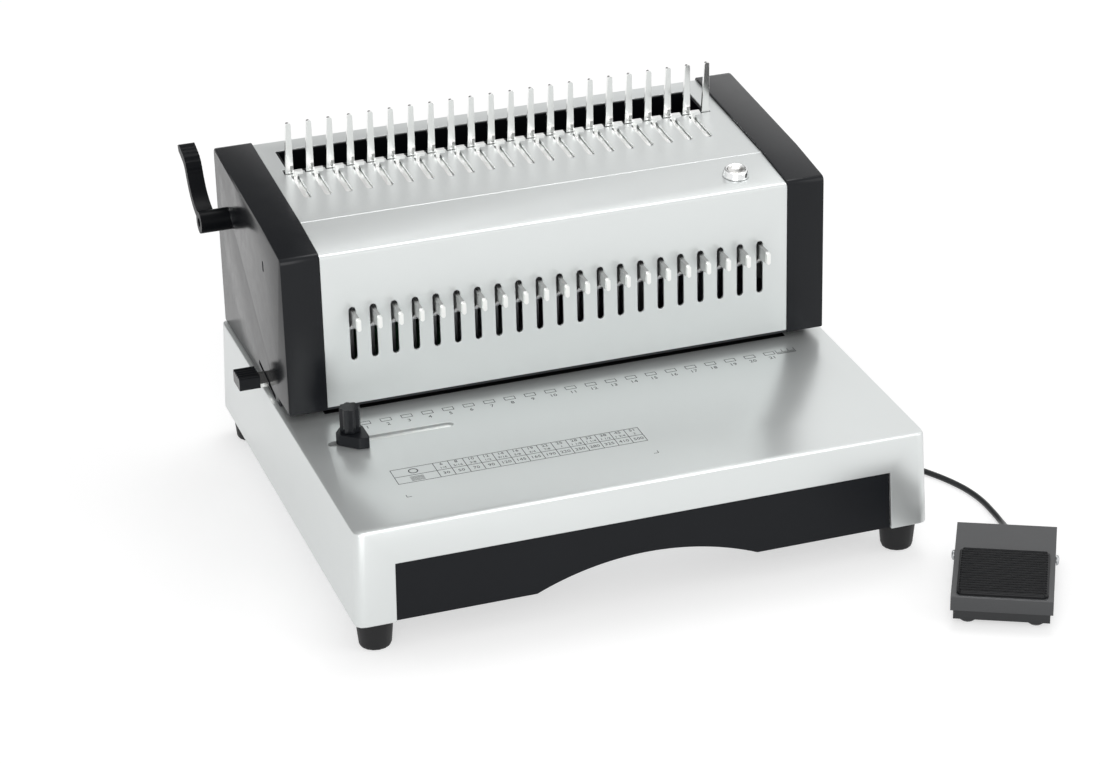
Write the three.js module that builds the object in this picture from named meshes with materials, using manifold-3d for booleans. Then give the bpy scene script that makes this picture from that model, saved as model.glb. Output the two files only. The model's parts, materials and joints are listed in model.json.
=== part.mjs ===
// Electric comb binding machine with a foot pedal, in millimetres.
// X runs to the right, Y to the back and Z up. While it is drawn, X is zero in the middle of the
// machine, Y is zero at the front face of the punching head and Z is zero on the floor.
// The machine punches a row of slots, and its finger and hook plates open a plastic comb.
import * as THREE from "three";
import { mergeVertices } from "three/addons/utils/BufferGeometryUtils.js";
import Module from "manifold-3d";

// Clearances and small shared sizes
const gap = 0.3;
const overrun = 5;
const mergeDistance = 0.0005;

// Counts
const slotCount = 21;
const roundSteps = 24;
const pinSteps = 16;
const postSteps = 12;
const nutSteps = 6;
const bendSteps = 3;
const footSteps = 16;
const roundShare = 0.29;
const halfShare = 0.5;
const dishShare = 0.6;

// Comb pitch
const combPitch = 14.2875;

// Base shell
const baseMargin = 2.95;
const baseFront = 165.3;
const baseRearMargin = 2;
const baseHeight = 64.5;
const baseFlare = 2.2;
const baseWall = 2.4;
const baseTopSheet = 2;
const baseCorner = 7;
const baseBevel = 1.4;

// Feet
const footHeight = 21.5;
const footTopRadius = 12.5;
const footBottomRadius = 10.7;
const footRounding = 2.5;
const footInset = 13.3;
const footRearInset = 14.8;

// Front opening, waste tray and bottom plate
const openingInset = 25;
const openingDrop = 23.9;
const openingFlare = 1.2;
const trayGap = 0.5;
const trayRecess = 2;
const trayFrontSheet = 2.5;
const trayWall = 1.6;
const trayBoxInset = 6.8;
const trayPocket = 48;
const trayWallDrop = 5;
const trayLedge = 2;
const trayRearReach = 62;
const pullRise = 15.2;
const pullHalfWidth = 75;
const pullSteps = 16;
const bottomSheet = 2;

// Punching head
const coverMargin = 12.88;
const headRearMargin = 16.8;
const frontTopHeight = 114.7;
const creaseReach = 47;
const creaseRise = 5.6;
const rearRise = 8.6;
const throatHeight = 6.8;
const coverSheet = 1.5;
const coverBend = 3;
const coverFlange = 14;
const capSpan = 26.45;
const capWall = 2.4;
const capProud = 1.8;
const capFrontProud = 0.8;
const capThroat = 5.4;
const capStepReach = 26;
const capCorner = 4;
const capBevel = 1.2;
const sightHoleHeight = 8;
const sightHoleWidth = 3;
const sightHoleDrop = 26.9;

// Front slots and die selectors
const frontSlotLow = 38;
const frontSlotHigh = 76.4;
const frontSlotWidth = 4.7;
const slotEndSteps = 2;
const bladeSheet = 2.2;
const bladeTop = 74.2;
const bladeHeight = 10.6;
const bladeTipHeight = 8;
const bladeTipDrop = 0.2;
const bladeReach = 16.6;
const bladeTail = 15;
const bladeHead = 3;
const bladeHeadWide = 2.8;
const bladeRound = 0.9;
const shelfSheet = 1;
const shelfDepth = 4.5;
const shelfOut = 2;
const shelfDrop = 1.1;

// Punch, die and ram
const punchReach = 16;
const punchWidth = 8;
const punchDepth = 3;
const ramFront = 5;
const ramDepth = 20;
const ramLow = 58;
const ramHigh = 77;
const ramInset = 7.9;
const ramTongue = 6;
const ramTongueLong = 12.6;
const ramStroke = 19;
const punchTip = 3.2;
const dieLowerSheet = 6;
const dieFront = 5;
const dieRear = 34;
const dieWeb = 4;
const dieGap = 2.6;
const dieUpperHeight = 11.4;

// Mechanism frame
const frameOutset = 1.1;
const frameSheet = 2.5;
const frameFloorSheet = 1.6;
const frameFront = 6.5;
const frameRearInset = 6.8;
const frameDrop = 10.7;
const frameFloorFront = 46;
const frameThroat = 5;
const frameNotchReach = 40;
const frameCorner = 8;

// Cam shaft and gear motor
const camReach = 58;
const camShaftRadius = 6;
const camRadius = 18;
const camWidth = 8;
const camShare = 0.5;
const yokeInset = 5;
const yokeSheet = 6;
const yokeClearance = 2.4;
const yokeWall = 5;
const yokeRise = 67;
const gearBoxWidth = 24;
const gearBoxPlace = 60;
const gearBoxFront = 44;
const gearBoxRearInset = 6;
const gearBoxTop = 76;
const motorRadius = 23;
const motorLength = 74;
const motorAhead = 28;
const motorNeck = 10;
const motorNeckLength = 9;
const jackWide = 10;

// Control board
const boardPlace = 100;
const boardAhead = 36;
const boardWidth = 84;
const boardDepth = 62;
const boardSheet = 1.6;
const boardRise = 7;
const boardPost = 3;
const boardPostInset = 5;
const boardPartHeight = 12;
const boardPartWide = 22;
const boardPartDeep = 16;

// Comb opener: slots, hook plate, finger plate and well
const topSlotShift = 4.5;
const topSlotWidth = 4.8;
const topSlotLong = 36.1;
const topSlotAhead = 3.4;
const hookSheet = 2;
const hookDrop = 0.6;
const hookPlateShort = 4.6;
const hookPlateBehind = 0.6;
const hookLegShift = 4.6;
const hookLegWidth = 2.7;
const hookLegInset = 3.8;
const hookLegDepth = 3;
const hookRise = 4.3;
const hookBarLeft = 5.6;
const hookBarRight = 0.6;
const hookBarHeight = 2.5;
const hookTravel = 26;
const armInset = 8.9;
const armWidth = 5;
const armRearInset = 4.3;
const fingerReach = 120;
const fingerFootDrop = 0.79;
const fingerLeanDegrees = 5.31;
const fingerLength = 38.9;
const fingerSheet = 2;
const fingerFootWidth = 5.7;
const fingerTipWidth = 3.5;
const fingerWebDrop = 2.4;
const fingerWebLength = 62;
const fingerWingHeight = 9;
const fingerWebGap = 0.7;
const fingerNotchWidth = 7;
const fingerNotchAhead = 1.8;
const wellInset = 12.4;
const wellFrontBehind = 1.4;
const wellLength = 34.6;
const wellFloorDrop = 10.7;
const wellWall = 1.5;
const wellFrontGap = 2.2;
const wellTopDrop = 0.6;

// Rack and pinions
const gearModule = 2;
const pinionTeeth = 16;
const pinionWidth = 5;
const pressureDegrees = 20;
const backlash = 0.3;
const rackHeadShare = 0.85;
const pinionRootShare = 1.25;
const rackTeeth = 7;
const rackFirstTooth = -2;
const openerBehind = 20;
const openerDrop = 23.7;
const openerShaftRadius = 5;
const openerShaftOut = 13.65;

// Opener lever
const hubRadius = 7.75;
const hubOut = 20.65;
const hubBore = 5.3;
const hubHole = 3.2;
const hubHoleDepth = 5;
const leverWidth = 11;
const leverThickness = 6;
const leverRise = 35;
const leverRun = 51.5;
const leverRunShares = [0.06, 0.28, 0.47, 0.6, 0.72, 1];
const leverRiseShares = [0.05, 0.16, 0.36, 0.62, 0.86, 1];
const leverSteps = 14;
const leverInset = 0.5;
const gripRibs = 8;
const gripRibHeight = 0.5;
const gripLengthShare = 0.42;

// Push button
const buttonInset = 28.6;
const buttonReach = 22;
const bezelBaseRadius = 9.1;
const bezelTopRadius = 7.7;
const bezelHeight = 5;
const bezelBoreRadius = 6.2;
const bezelNeckRadius = 7;
const bezelNeckLength = 11;
const buttonDish = 1.2;
const buttonDrop = 0.5;
const buttonLength = 11;

// Depth slider and stop bar
const stopReach = 22;
const stopDepth = 3.4;
const stopSheet = 1.8;
const stopEndInset = 14.35;
const stopEndSheet = 4;
const sliderFront = 48;
const sliderDepth = 17;
const sliderTop = 13.4;
const sliderLow = 5.4;
const sliderStand = 6.65;
const sliderWidth = 14.3;
const sliderArmSheet = 2.6;
const sliderArmInset = 2;
const sliderShoeTall = 8;
const sliderForward = 14;
const sliderBackward = 12;
const sliderRibs = 5;
const sliderRibHeight = 1;
const sliderSlitRise = 7.3;
const sliderSlitSlope = 0.193;
const sliderSlitTall = 3.4;
const sliderSlitMargin = 1.5;

// Edge guide, its slot and its knob
const guideSlotInset = 18;
const guideSlotLong = 85.7;
const guideSlotReach = 39.5;
const guideSlotWidth = 7.2;
const guideRimWall = 1.6;
const guideRimDrop = 1.6;
const guideHeight = 8;
const guideKnobInset = 15.8;
const guideLength = 22.5;
const guideBreadth = 19.4;
const guideLengthShares = [-0.03, -0.2, -0.62, -0.653, 0.14, 0.347, 0.3];
const guideBreadthShares = [-0.536, -0.45, 0.093, 0.464, 0.464, 0.206, -0.278];
const guideTongue = 3;
const guideTongueLong = 12;
const guideBore = 1.5;
const knobRadius = 7;
const knobFlute = 1.1;
const knobFlutes = 8;
const knobHeight = 16.7;
const knobStem = 1.2;
const knobNutRadius = 5.1;
const knobNutHeight = 2.6;

// Rear panel, mains inlet and rocker switch
const panelSheet = 1.5;
const inletInset = 42.9;
const inletHeight = 44;
const inletWidth = 58;
const inletTall = 31;
const inletFlange = 2.5;
const inletBodyWidth = 47;
const inletBodyTall = 27;
const inletBodyDepth = 22;
const socketWidth = 24;
const socketTall = 16.5;
const socketDepth = 16;
const socketPlace = 11;
const pinSpacing = 7;
const pinWidth = 2;
const pinTall = 4;
const pinShort = 3;
const rockerWidth = 13;
const rockerTall = 19;
const rockerDepth = 8;
const rockerPlace = 14.5;
const rockerPocketGap = 1;
const rockerTiltDegrees = 8;
const rockerStand = 2.6;

// Foot pedal
const pedalAside = 3.36;
const pedalAhead = 111;
const pedalYawDegrees = 27.5;
const pedalWidth = 60.9;
const pedalDepth = 92;
const pedalLow = 3.2;
const pedalSheet = 1.5;
const pedalFrontWall = 9.8;
const pedalSideWall = 9.6;
const pedalRearWall = 15;
const pedalEarHeight = 16.4;
const pedalEarWidth = 13;
const pedalCorner = 2;
const pedalFootRadius = 6;
const pedalFootInset = 9;
const pedalFootFront = 9.2;
const pedalCoverWidth = 64.5;
const pedalCoverDepth = 94;
const pedalCoverFrontHeight = 20.8;
const pedalCoverRearHeight = 23.4;
const pedalFlangeLow = 10.5;
const pedalLipDrop = 10.3;
const pedalLipRoom = 1.2;
const pivotReach = 64.5;
const pivotHeight = 15;
const pivotRadius = 2;
const pivotHeadRadius = 3.4;
const pivotHeadHeight = 2;
const padWidth = 57.6;
const padDepth = 56;
const padFront = 2;
const padSheet = 1.6;
const padRibs = 19;
const padRibHeight = 1.1;
const padCorner = 3.5;
const ribTopShare = 0.7;
const ribFootShare = 0.3;

// Cord, its coil and its reliefs
const cordDiameter = 4;
const cordSides = 8;
const coilSides = 6;
const coilStepsPerTurn = 24;
const coilTurnsPerLayer = 3.75;
const coilInnerRadius = 15.4;
const coilSpacing = 4.46;
const reliefInset = 72.3;
const coilBehind = 93.2;
const coilClimbShare = 0.25;
const reliefLength = 22;
const reliefBaseRadius = 5;
const reliefTipRadius = 3;
const reliefFlangeRadius = 7;
const reliefFlange = 2;
const reliefNeckRadius = 4;
const reliefHeight = 31;
const pedalReliefLength = 12;
const pedalReliefHeight = 9.5;
const pedalReliefNeck = 3.2;
// Runs of the cord as [x, y, z]: the lead from the relief's place on the rear wall, the rear run
// from the base's rear right corner, and the front run from the middle of the pedal's front.
const leadRun = [
  [0, 31.2, 31],
  [0, 40.2, 29],
  [0, 51.2, 20],
  [0, 62.2, 9.5],
  [0, 73.2, 3],
  [0, 81.2, 2.05],
];
const rearRun = [
  [-8.1, 82.2, 6.3],
  [-7.1, 70.2, 5],
  [-4.3, 57.2, 2.9],
  [1.2, 41.2, 2.05],
  [8.2, 23.2, 2],
  [13.2, 0.2, 2],
  [15.2, -29.8, 2],
  [14.7, -64.8, 2],
  [13.5, -99.8, 2],
  [13.2, -134.8, 2],
];
const frontRun = [
  [11.34, 281.3, 2],
  [18.34, 251.3, 2],
  [31.34, 226.3, 2],
  [43.64, 206, 2],
  [51.14, 191.3, 2],
  [57.04, 174.7, 2],
  [60.04, 156.9, 2],
  [60.14, 139.3, 2],
  [59.14, 124.3, 2.2],
  [56.94, 113.3, 4.4],
  [53.64, 103.1, 8.2],
];
const cordSteps = 46;
const leadSteps = 12;

// Places that follow from the sizes above
const fingerCount = slotCount + 1;
const tableTop = footHeight + baseHeight;
const coverHalfWidth = (slotCount * combPitch) / 2 + coverMargin;
const capHalfWidth = coverHalfWidth + capSpan;
const baseHalfWidth = capHalfWidth + baseMargin;
const openingHalfWidth = baseHalfWidth - openingInset;
const frameInner = coverHalfWidth + frameOutset;
const ramHalfWidth = coverHalfWidth - ramInset;
const armInner = coverHalfWidth - armInset;
const wellHalfWidth = coverHalfWidth - wellInset;
const openerShaftEnd = capHalfWidth + openerShaftOut;
const hubEnd = capHalfWidth + hubOut;
const stopEndPlace = capHalfWidth - stopEndInset;
const sliderInner = capHalfWidth + sliderStand;
const sliderOuter = sliderInner + sliderWidth;
const guideSlotLeft = baseHalfWidth - guideSlotInset;
const guideSlotRight = guideSlotLeft - guideSlotLong;
const guideKnobPlace = guideSlotLeft - guideKnobInset;
const buttonPlace = coverHalfWidth - buttonInset;
const inletPlace = coverHalfWidth - inletInset;
const reliefPlace = baseHalfWidth - reliefInset;
const pedalPlaceX = baseHalfWidth + pedalAside;
const pedalPlaceY = baseFront + pedalAhead;
const wellFront = fingerReach + wellFrontBehind;
const wellRear = wellFront + wellLength;
const headDepth = wellRear + headRearMargin;
const baseRear = headDepth + baseRearMargin;
const frameRear = headDepth - frameRearInset;
const topSlotRear = fingerReach - topSlotAhead;
const topSlotFront = topSlotRear - topSlotLong;
const hookPlateFront = topSlotFront + hookPlateShort;
const hookPlateRear = topSlotRear + hookPlateBehind;
const hookLegFront = topSlotRear - hookLegInset;
const armRear = headDepth - armRearInset;
const openerReach = fingerReach + openerBehind;
const fingerNotchFront = fingerReach - fingerNotchAhead;
const motorBack = fingerReach - motorAhead;
const gearBoxDepth = fingerReach - gearBoxRearInset - gearBoxFront;
const boardReach = fingerReach - boardAhead;
const coilReach = baseRear + coilBehind;
const creaseHeight = frontTopHeight + creaseRise;
const rearTopHeight = creaseHeight + rearRise;
const frameHeight = frontTopHeight - frameDrop;
const wellFloorHeight = frontTopHeight - wellFloorDrop;
const openerHeight = frontTopHeight - openerDrop;
const coverEdge = coverHalfWidth - gap / 2;
const capEdge = coverHalfWidth + gap / 2;
const degree = Math.PI / 180;
const topSlope = Math.atan2(rearTopHeight - creaseHeight, headDepth - creaseReach);
const frontSlope = Math.atan2(creaseHeight - frontTopHeight, creaseReach);
const camHeight = yokeRise - ramStroke * camShare;
const pitchRadius = (gearModule * pinionTeeth) / 2;
const fingerFoot = creaseHeight + (fingerReach - creaseReach) * Math.tan(topSlope) - fingerFootDrop;

// Solids are joined and cut by this library.
const wasm = await Module();
wasm.setup();

// A closed geometry becomes a solid that can be joined and cut.
function solid(geometry) {
  const plain = geometry.clone();
  plain.deleteAttribute("normal");
  plain.deleteAttribute("uv");
  const merged = mergeVertices(plain, mergeDistance);
  return new wasm.Manifold(new wasm.Mesh({
    numProp: 3,
    vertProperties: Float32Array.from(merged.attributes.position.array),
    triVerts: Uint32Array.from(merged.index.array),
  }));
}

function joined(first, ...rest) {
  return rest.reduce((whole, next) => whole.add(next), first);
}

function cut(first, ...rest) {
  return rest.reduce((whole, next) => whole.subtract(next), first);
}

function geometryOf(body) {
  const mesh = body.getMesh();
  const geometry = new THREE.BufferGeometry();
  geometry.setAttribute("position", new THREE.BufferAttribute(mesh.vertProperties, 3));
  geometry.setIndex(new THREE.BufferAttribute(mesh.triVerts, 1));
  geometry.computeVertexNormals();
  return geometry;
}

// An outline through points [a, b] or [a, b, radius], with its corners rounded.
function outline(points, radius = 0) {
  const shape = new THREE.Shape();
  const count = points.length;
  points.forEach((point, index) => {
    const here = new THREE.Vector2(point[0], point[1]);
    const before = points[(index + count - 1) % count];
    const after = points[(index + 1) % count];
    const back = new THREE.Vector2(before[0], before[1]).sub(here).normalize();
    const ahead = new THREE.Vector2(after[0], after[1]).sub(here).normalize();
    const bend = point[2] ?? radius;
    const trim = bend / Math.tan(back.angleTo(ahead) / 2);
    const start = here.clone().addScaledVector(back, trim);
    const end = here.clone().addScaledVector(ahead, trim);
    if (index === 0) shape.moveTo(start.x, start.y);
    else shape.lineTo(start.x, start.y);
    if (bend > 0) shape.quadraticCurveTo(here.x, here.y, end.x, end.y);
  });
  shape.closePath();
  return shape;
}

function extruded(shape, depth, steps = bendSteps) {
  return new THREE.ExtrudeGeometry(shape, { depth, bevelEnabled: false, curveSegments: steps });
}

const axisX = new THREE.Vector3(1, 0, 0);
const axisY = new THREE.Vector3(0, 1, 0);
const axisZ = new THREE.Vector3(0, 0, 1);

// An outline in Y and Z, drawn out along X.
function alongX(shape, from, to, steps) {
  const place = new THREE.Matrix4().makeBasis(axisY, axisZ, axisX).setPosition(from, 0, 0);
  return solid(extruded(shape, to - from, steps).applyMatrix4(place));
}

// An outline in X and Z, drawn out along Y.
function alongY(shape, from, to, steps) {
  const place = new THREE.Matrix4().makeBasis(axisX, axisZ, axisY.clone().negate());
  place.setPosition(0, to, 0);
  return solid(extruded(shape, to - from, steps).applyMatrix4(place));
}

// An outline in X and Y, drawn up along Z.
function alongZ(shape, from, to, steps) {
  return solid(extruded(shape, to - from, steps).translate(0, 0, from));
}

function block(x0, x1, y0, y1, z0, z1) {
  const geometry = new THREE.BoxGeometry(x1 - x0, y1 - y0, z1 - z0);
  return solid(geometry.translate((x0 + x1) / 2, (y0 + y1) / 2, (z0 + z1) / 2));
}

// A round bar along X, Y or Z, in the middle of the other two places.
function rodX(radius, x0, x1, y, z, steps = roundSteps) {
  const geometry = new THREE.CylinderGeometry(radius, radius, x1 - x0, steps);
  return solid(geometry.rotateZ(-Math.PI / 2).translate((x0 + x1) / 2, y, z));
}

function rodY(radius, y0, y1, x, z, steps = roundSteps) {
  const geometry = new THREE.CylinderGeometry(radius, radius, y1 - y0, steps);
  return solid(geometry.translate(x, (y0 + y1) / 2, z));
}

function rodZ(radius, z0, z1, x, y, steps = roundSteps) {
  const geometry = new THREE.CylinderGeometry(radius, radius, z1 - z0, steps);
  return solid(geometry.rotateX(Math.PI / 2).translate(x, y, (z0 + z1) / 2));
}

// A turned piece from points [radius, height], standing on Z.
function turned(points, steps = roundSteps) {
  const profile = points.map(([radius, height]) => new THREE.Vector2(radius, height));
  return new THREE.LatheGeometry(profile, steps).rotateX(Math.PI / 2);
}

function rectangle(x0, x1, y0, y1, radius = 0) {
  return outline([[x0, y0], [x1, y0], [x1, y1], [x0, y1]], radius);
}

// A body between level outlines of equal count, each a list of points [x, y, z].
function lofted(rings) {
  const count = rings[0].length;
  const positions = rings.flat(2);
  const faces = [];
  for (let ring = 0; ring < rings.length - 1; ring += 1) {
    for (let side = 0; side < count; side += 1) {
      const a = ring * count + side;
      const b = ring * count + ((side + 1) % count);
      faces.push(a, b, b + count, a, b + count, a + count);
    }
  }
  const last = (rings.length - 1) * count;
  for (let side = 1; side < count - 1; side += 1) {
    faces.push(0, side + 1, side, last, last + side, last + side + 1);
  }
  const geometry = new THREE.BufferGeometry();
  geometry.setAttribute("position", new THREE.Float32BufferAttribute(positions, 3));
  geometry.setIndex(faces);
  return solid(geometry);
}

// The points of a level rounded rectangle.
function levelRing(x, front, rear, radius, z) {
  return rectangle(-x, x, front, rear, radius).getPoints(bendSteps).slice(0, -1)
    .map((point) => [point.x, point.y, z]);
}

function paint(color, roughness, metalness) {
  return new THREE.MeshStandardMaterial({ color, roughness, metalness });
}

const silverPaint = paint(0xcdd1d1, 0.35, 0.45);
const blackPlastic = paint(0x1c1e20, 0.35, 0);
const blackRubber = paint(0x17181a, 0.75, 0);
const chrome = paint(0xe6e7e8, 0.12, 1);
const nickel = paint(0xa8a8a6, 0.25, 1);
const steel = paint(0x9da1a4, 0.35, 1);
const zincPlate = paint(0xb4b7b8, 0.45, 0.9);
const greyPaint = paint(0x4c4f51, 0.5, 0.1);
const boardGreen = paint(0x1f5a3a, 0.5, 0);
const motorGrey = paint(0x6b6e70, 0.45, 0.6);

const machine = new THREE.Group();

// A named piece of the machine.
function piece(name, shape, material) {
  const geometry = shape.isBufferGeometry ? shape : geometryOf(shape);
  const mesh = new THREE.Mesh(geometry, material);
  mesh.name = name;
  machine.add(mesh);
  return mesh;
}

function slotX(index) {
  return (index - (slotCount - 1) / 2) * combPitch;
}

function fingerX(index) {
  return (index - (fingerCount - 1) / 2) * combPitch;
}

// A point of the rear top band: back along the slope from the crease, and up square to it.
function onTop(along, up) {
  return [
    creaseReach + along * Math.cos(topSlope) - up * Math.sin(topSlope),
    tableTop + creaseHeight + along * Math.sin(topSlope) + up * Math.cos(topSlope),
  ];
}

// The way along the slope at which the top band passes over a place in Y.
function alongAt(reach) {
  return (reach - creaseReach) / Math.cos(topSlope);
}

function topZ(reach) {
  return tableTop + creaseHeight + (reach - creaseReach) * Math.tan(topSlope);
}

// How far the base has flared out at a height.
function flareAt(z) {
  return (baseFlare * (tableTop - z)) / baseHeight;
}

// A level outline of the base, drawn in from its outer face.
function baseRing(z, inset) {
  const grow = flareAt(z) - inset;
  return levelRing(baseHalfWidth + grow, -baseFront - grow, baseRear + grow, baseCorner - inset, z);
}

// A long hole with round ends, standing along the second axis of its plane.
function longHole(x, width, low, high) {
  const radius = width / 2;
  const shape = new THREE.Shape();
  shape.absarc(x, high - radius, radius, 0, Math.PI, false);
  shape.absarc(x, low + radius, radius, Math.PI, 2 * Math.PI, false);
  shape.closePath();
  return shape;
}

// A long hole with round ends, lying along X.
function flatHole(left, right, y, width) {
  const radius = width / 2;
  const shape = new THREE.Shape();
  shape.absarc(left + radius, y, radius, Math.PI / 2, (3 * Math.PI) / 2, false);
  shape.absarc(right - radius, y, radius, -Math.PI / 2, Math.PI / 2, false);
  shape.closePath();
  return shape;
}

// Silver base: a flared, hollow moulding that is open below and in front.
function baseShell() {
  const outer = lofted([
    baseRing(footHeight, 0),
    baseRing(tableTop - baseBevel, 0),
    baseRing(tableTop - baseBevel * roundShare, baseBevel * roundShare),
    baseRing(tableTop, baseBevel),
  ]);
  const inner = lofted([
    baseRing(footHeight - overrun, baseWall),
    baseRing(tableTop - baseTopSheet, baseWall),
  ]);
  const dieReach = frameInner;
  const dieHole = block(-dieReach, dieReach, dieFront - gap, dieRear + gap,
    tableTop - baseTopSheet - overrun, tableTop + overrun);
  const rimLow = tableTop - baseTopSheet - guideRimDrop;
  const guideRim = alongZ(flatHole(-guideSlotLeft - guideRimWall, -guideSlotRight + guideRimWall,
    -guideSlotReach, guideSlotWidth + 2 * guideRimWall), rimLow, tableTop - baseTopSheet / 2, slotEndSteps);
  const guideSlot = alongZ(flatHole(-guideSlotLeft, -guideSlotRight, -guideSlotReach, guideSlotWidth),
    rimLow - overrun, tableTop + overrun, slotEndSteps);
  const cordHole = rodY(reliefNeckRadius + gap, baseRear - overrun, baseRear + baseFlare + overrun,
    reliefPlace, reliefHeight);
  const shell = cut(outer, inner, openingCut(0, baseWall + overrun), dieHole, cordHole);
  return cut(joined(shell, guideRim), guideSlot);
}

// The front opening as a solid, smaller all round by an inset and as deep as asked.
function openingCut(inset, depth) {
  const top = tableTop - openingDrop - inset;
  const half = openingHalfWidth - inset;
  const shape = outline([
    [-half - openingFlare, footHeight - overrun],
    [half + openingFlare, footHeight - overrun],
    [half, top],
    [-half, top],
  ]);
  return alongY(shape, -baseFront - baseFlare - overrun, -baseFront + depth);
}

// Steel plate that closes the base below, cut back behind the tray front.
function bottomPlate() {
  const half = baseHalfWidth + baseFlare - baseWall - gap;
  const front = -baseFront - baseFlare + baseWall + gap;
  const rear = baseRear + baseFlare - baseWall - gap;
  const pocket = -baseFront + trayPocket;
  const tab = openingHalfWidth + openingFlare + baseWall;
  const shape = outline([
    [-half, front, baseCorner], [-tab, front], [-tab, pocket], [tab, pocket],
    [tab, front], [half, front, baseCorner], [half, rear, baseCorner], [-half, rear, baseCorner],
  ]);
  return alongZ(shape, footHeight, footHeight + bottomSheet);
}

// Black tray for the chips: a slanted front with an arched finger pull, and an open box behind it.
function wasteTray() {
  const frontAt = (z) => -baseFront - flareAt(z) + trayRecess;
  const top = tableTop - openingDrop;
  const slab = alongX(outline([
    [frontAt(footHeight), footHeight],
    [frontAt(footHeight) + trayFrontSheet, footHeight],
    [frontAt(top) + trayFrontSheet, top],
    [frontAt(top), top],
  ]), -baseHalfWidth, baseHalfWidth);
  const front = cut(slab.intersect(openingCut(trayGap, baseWall + overrun)), fingerPull());
  const half = openingHalfWidth - trayBoxInset;
  const boxFront = -baseFront + trayPocket;
  const low = footHeight + bottomSheet + gap;
  const high = top - trayWallDrop;
  const box = block(-half, half, boxFront, trayRearReach, low, high);
  const hollow = block(-half + trayWall, half - trayWall, boxFront + trayWall, trayRearReach - trayWall,
    low + trayWall, high + overrun);
  const ledge = block(-half, half, frontAt(high) + trayFrontSheet / 2, boxFront + trayWall / 2,
    high - trayLedge, high);
  return joined(front, cut(box, hollow), ledge);
}

// Arch cut from the lower edge of the tray front.
function fingerPull() {
  const radius = (pullHalfWidth ** 2 + pullRise ** 2) / (2 * pullRise);
  const centre = footHeight + pullRise - radius;
  const start = Math.acos(pullHalfWidth / radius);
  const shape = new THREE.Shape();
  shape.moveTo(pullHalfWidth, footHeight - overrun);
  shape.lineTo(pullHalfWidth, footHeight);
  shape.absarc(0, centre, radius, start, Math.PI - start, false);
  shape.lineTo(-pullHalfWidth, footHeight - overrun);
  shape.closePath();
  return alongY(shape, -baseFront - baseFlare - overrun, -baseFront + trayPocket, pullSteps);
}

function foot(x, y) {
  const top = footHeight - gap;
  return turned([
    [0, 0],
    [footBottomRadius - footRounding, 0],
    [footBottomRadius - footRounding * roundShare, footRounding * roundShare],
    [footBottomRadius, footRounding],
    [footTopRadius, top],
    [0, top],
  ], footSteps).translate(x, y, 0);
}

// Silver cover: one bent sheet with a crease, with slots in front, slots on top and a long opening.
function upperCover() {
  const sheet = coverSheet;
  const front = [0, tableTop + frontTopHeight];
  const crease = [creaseReach, tableTop + creaseHeight];
  const rear = [headDepth, tableTop + rearTopHeight];
  const low = tableTop + throatHeight;
  const flangeLow = rear[1] - coverFlange;
  const ribbon = outline([
    [0, low],
    [...front, coverBend],
    crease,
    [...rear, coverBend],
    [headDepth, flangeLow],
    [headDepth - sheet, flangeLow],
    [headDepth - sheet, rear[1] - sheet * (1 + Math.tan(topSlope)), coverBend - sheet],
    [creaseReach, crease[1] - sheet],
    [sheet, front[1] - sheet * (1 - Math.tan(frontSlope)), coverBend - sheet],
    [sheet, low],
  ].reverse());
  const cutters = [wellOpening(), buttonHole()];
  for (let index = 0; index < slotCount; index += 1) {
    const x = slotX(index);
    const frontSlot = longHole(x, frontSlotWidth, tableTop + frontSlotLow, tableTop + frontSlotHigh);
    cutters.push(alongY(frontSlot, -overrun, sheet + overrun, slotEndSteps));
    const topSlot = longHole(x - topSlotShift, topSlotWidth, topSlotFront, topSlotRear);
    cutters.push(alongZ(topSlot, topZ(0) - overrun, topZ(headDepth) + overrun, slotEndSteps));
  }
  return cut(alongX(ribbon, -coverEdge, coverEdge), ...cutters);
}

// The long opening of the comb well, with a notch at the foot of each finger.
function wellOpening() {
  const low = topZ(0) - overrun;
  const high = topZ(headDepth) + overrun;
  let opening = block(-wellHalfWidth, wellHalfWidth, wellFront, wellRear, low, high);
  for (let index = 0; index < fingerCount; index += 1) {
    const x = fingerX(index);
    const half = fingerNotchWidth / 2;
    opening = opening.add(block(x - half, x + half, fingerNotchFront, wellFront + overrun, low, high));
  }
  return opening;
}

// Places a turned piece of the button on the front slope, square to it.
function onButton(geometry) {
  const z = tableTop + frontTopHeight + buttonReach * Math.tan(frontSlope);
  return geometry.rotateX(frontSlope).translate(buttonPlace, buttonReach, z);
}

function buttonHole() {
  const radius = bezelNeckRadius + gap;
  const bar = new THREE.CylinderGeometry(radius, radius, bezelNeckLength + overrun, roundSteps);
  return solid(onButton(bar.rotateX(Math.PI / 2)));
}

// Ring round the button: a tapered collar with a threaded neck below the cover.
function buttonBezel() {
  return onButton(turned([
    [bezelBoreRadius, -bezelNeckLength],
    [bezelNeckRadius, -bezelNeckLength],
    [bezelNeckRadius, gap],
    [bezelBaseRadius, gap],
    [bezelTopRadius, bezelHeight],
    [bezelBoreRadius, bezelHeight],
    [bezelBoreRadius, -bezelNeckLength],
  ]));
}

// Button with a dished top, which sits inside its ring.
function pushButton() {
  const radius = bezelBoreRadius - gap;
  const top = bezelHeight - buttonDrop;
  return onButton(turned([
    [0, top - buttonLength],
    [radius, top - buttonLength],
    [radius, top],
    [radius * dishShare, top - buttonDish * roundShare],
    [0, top - buttonDish],
  ]));
}

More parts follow.
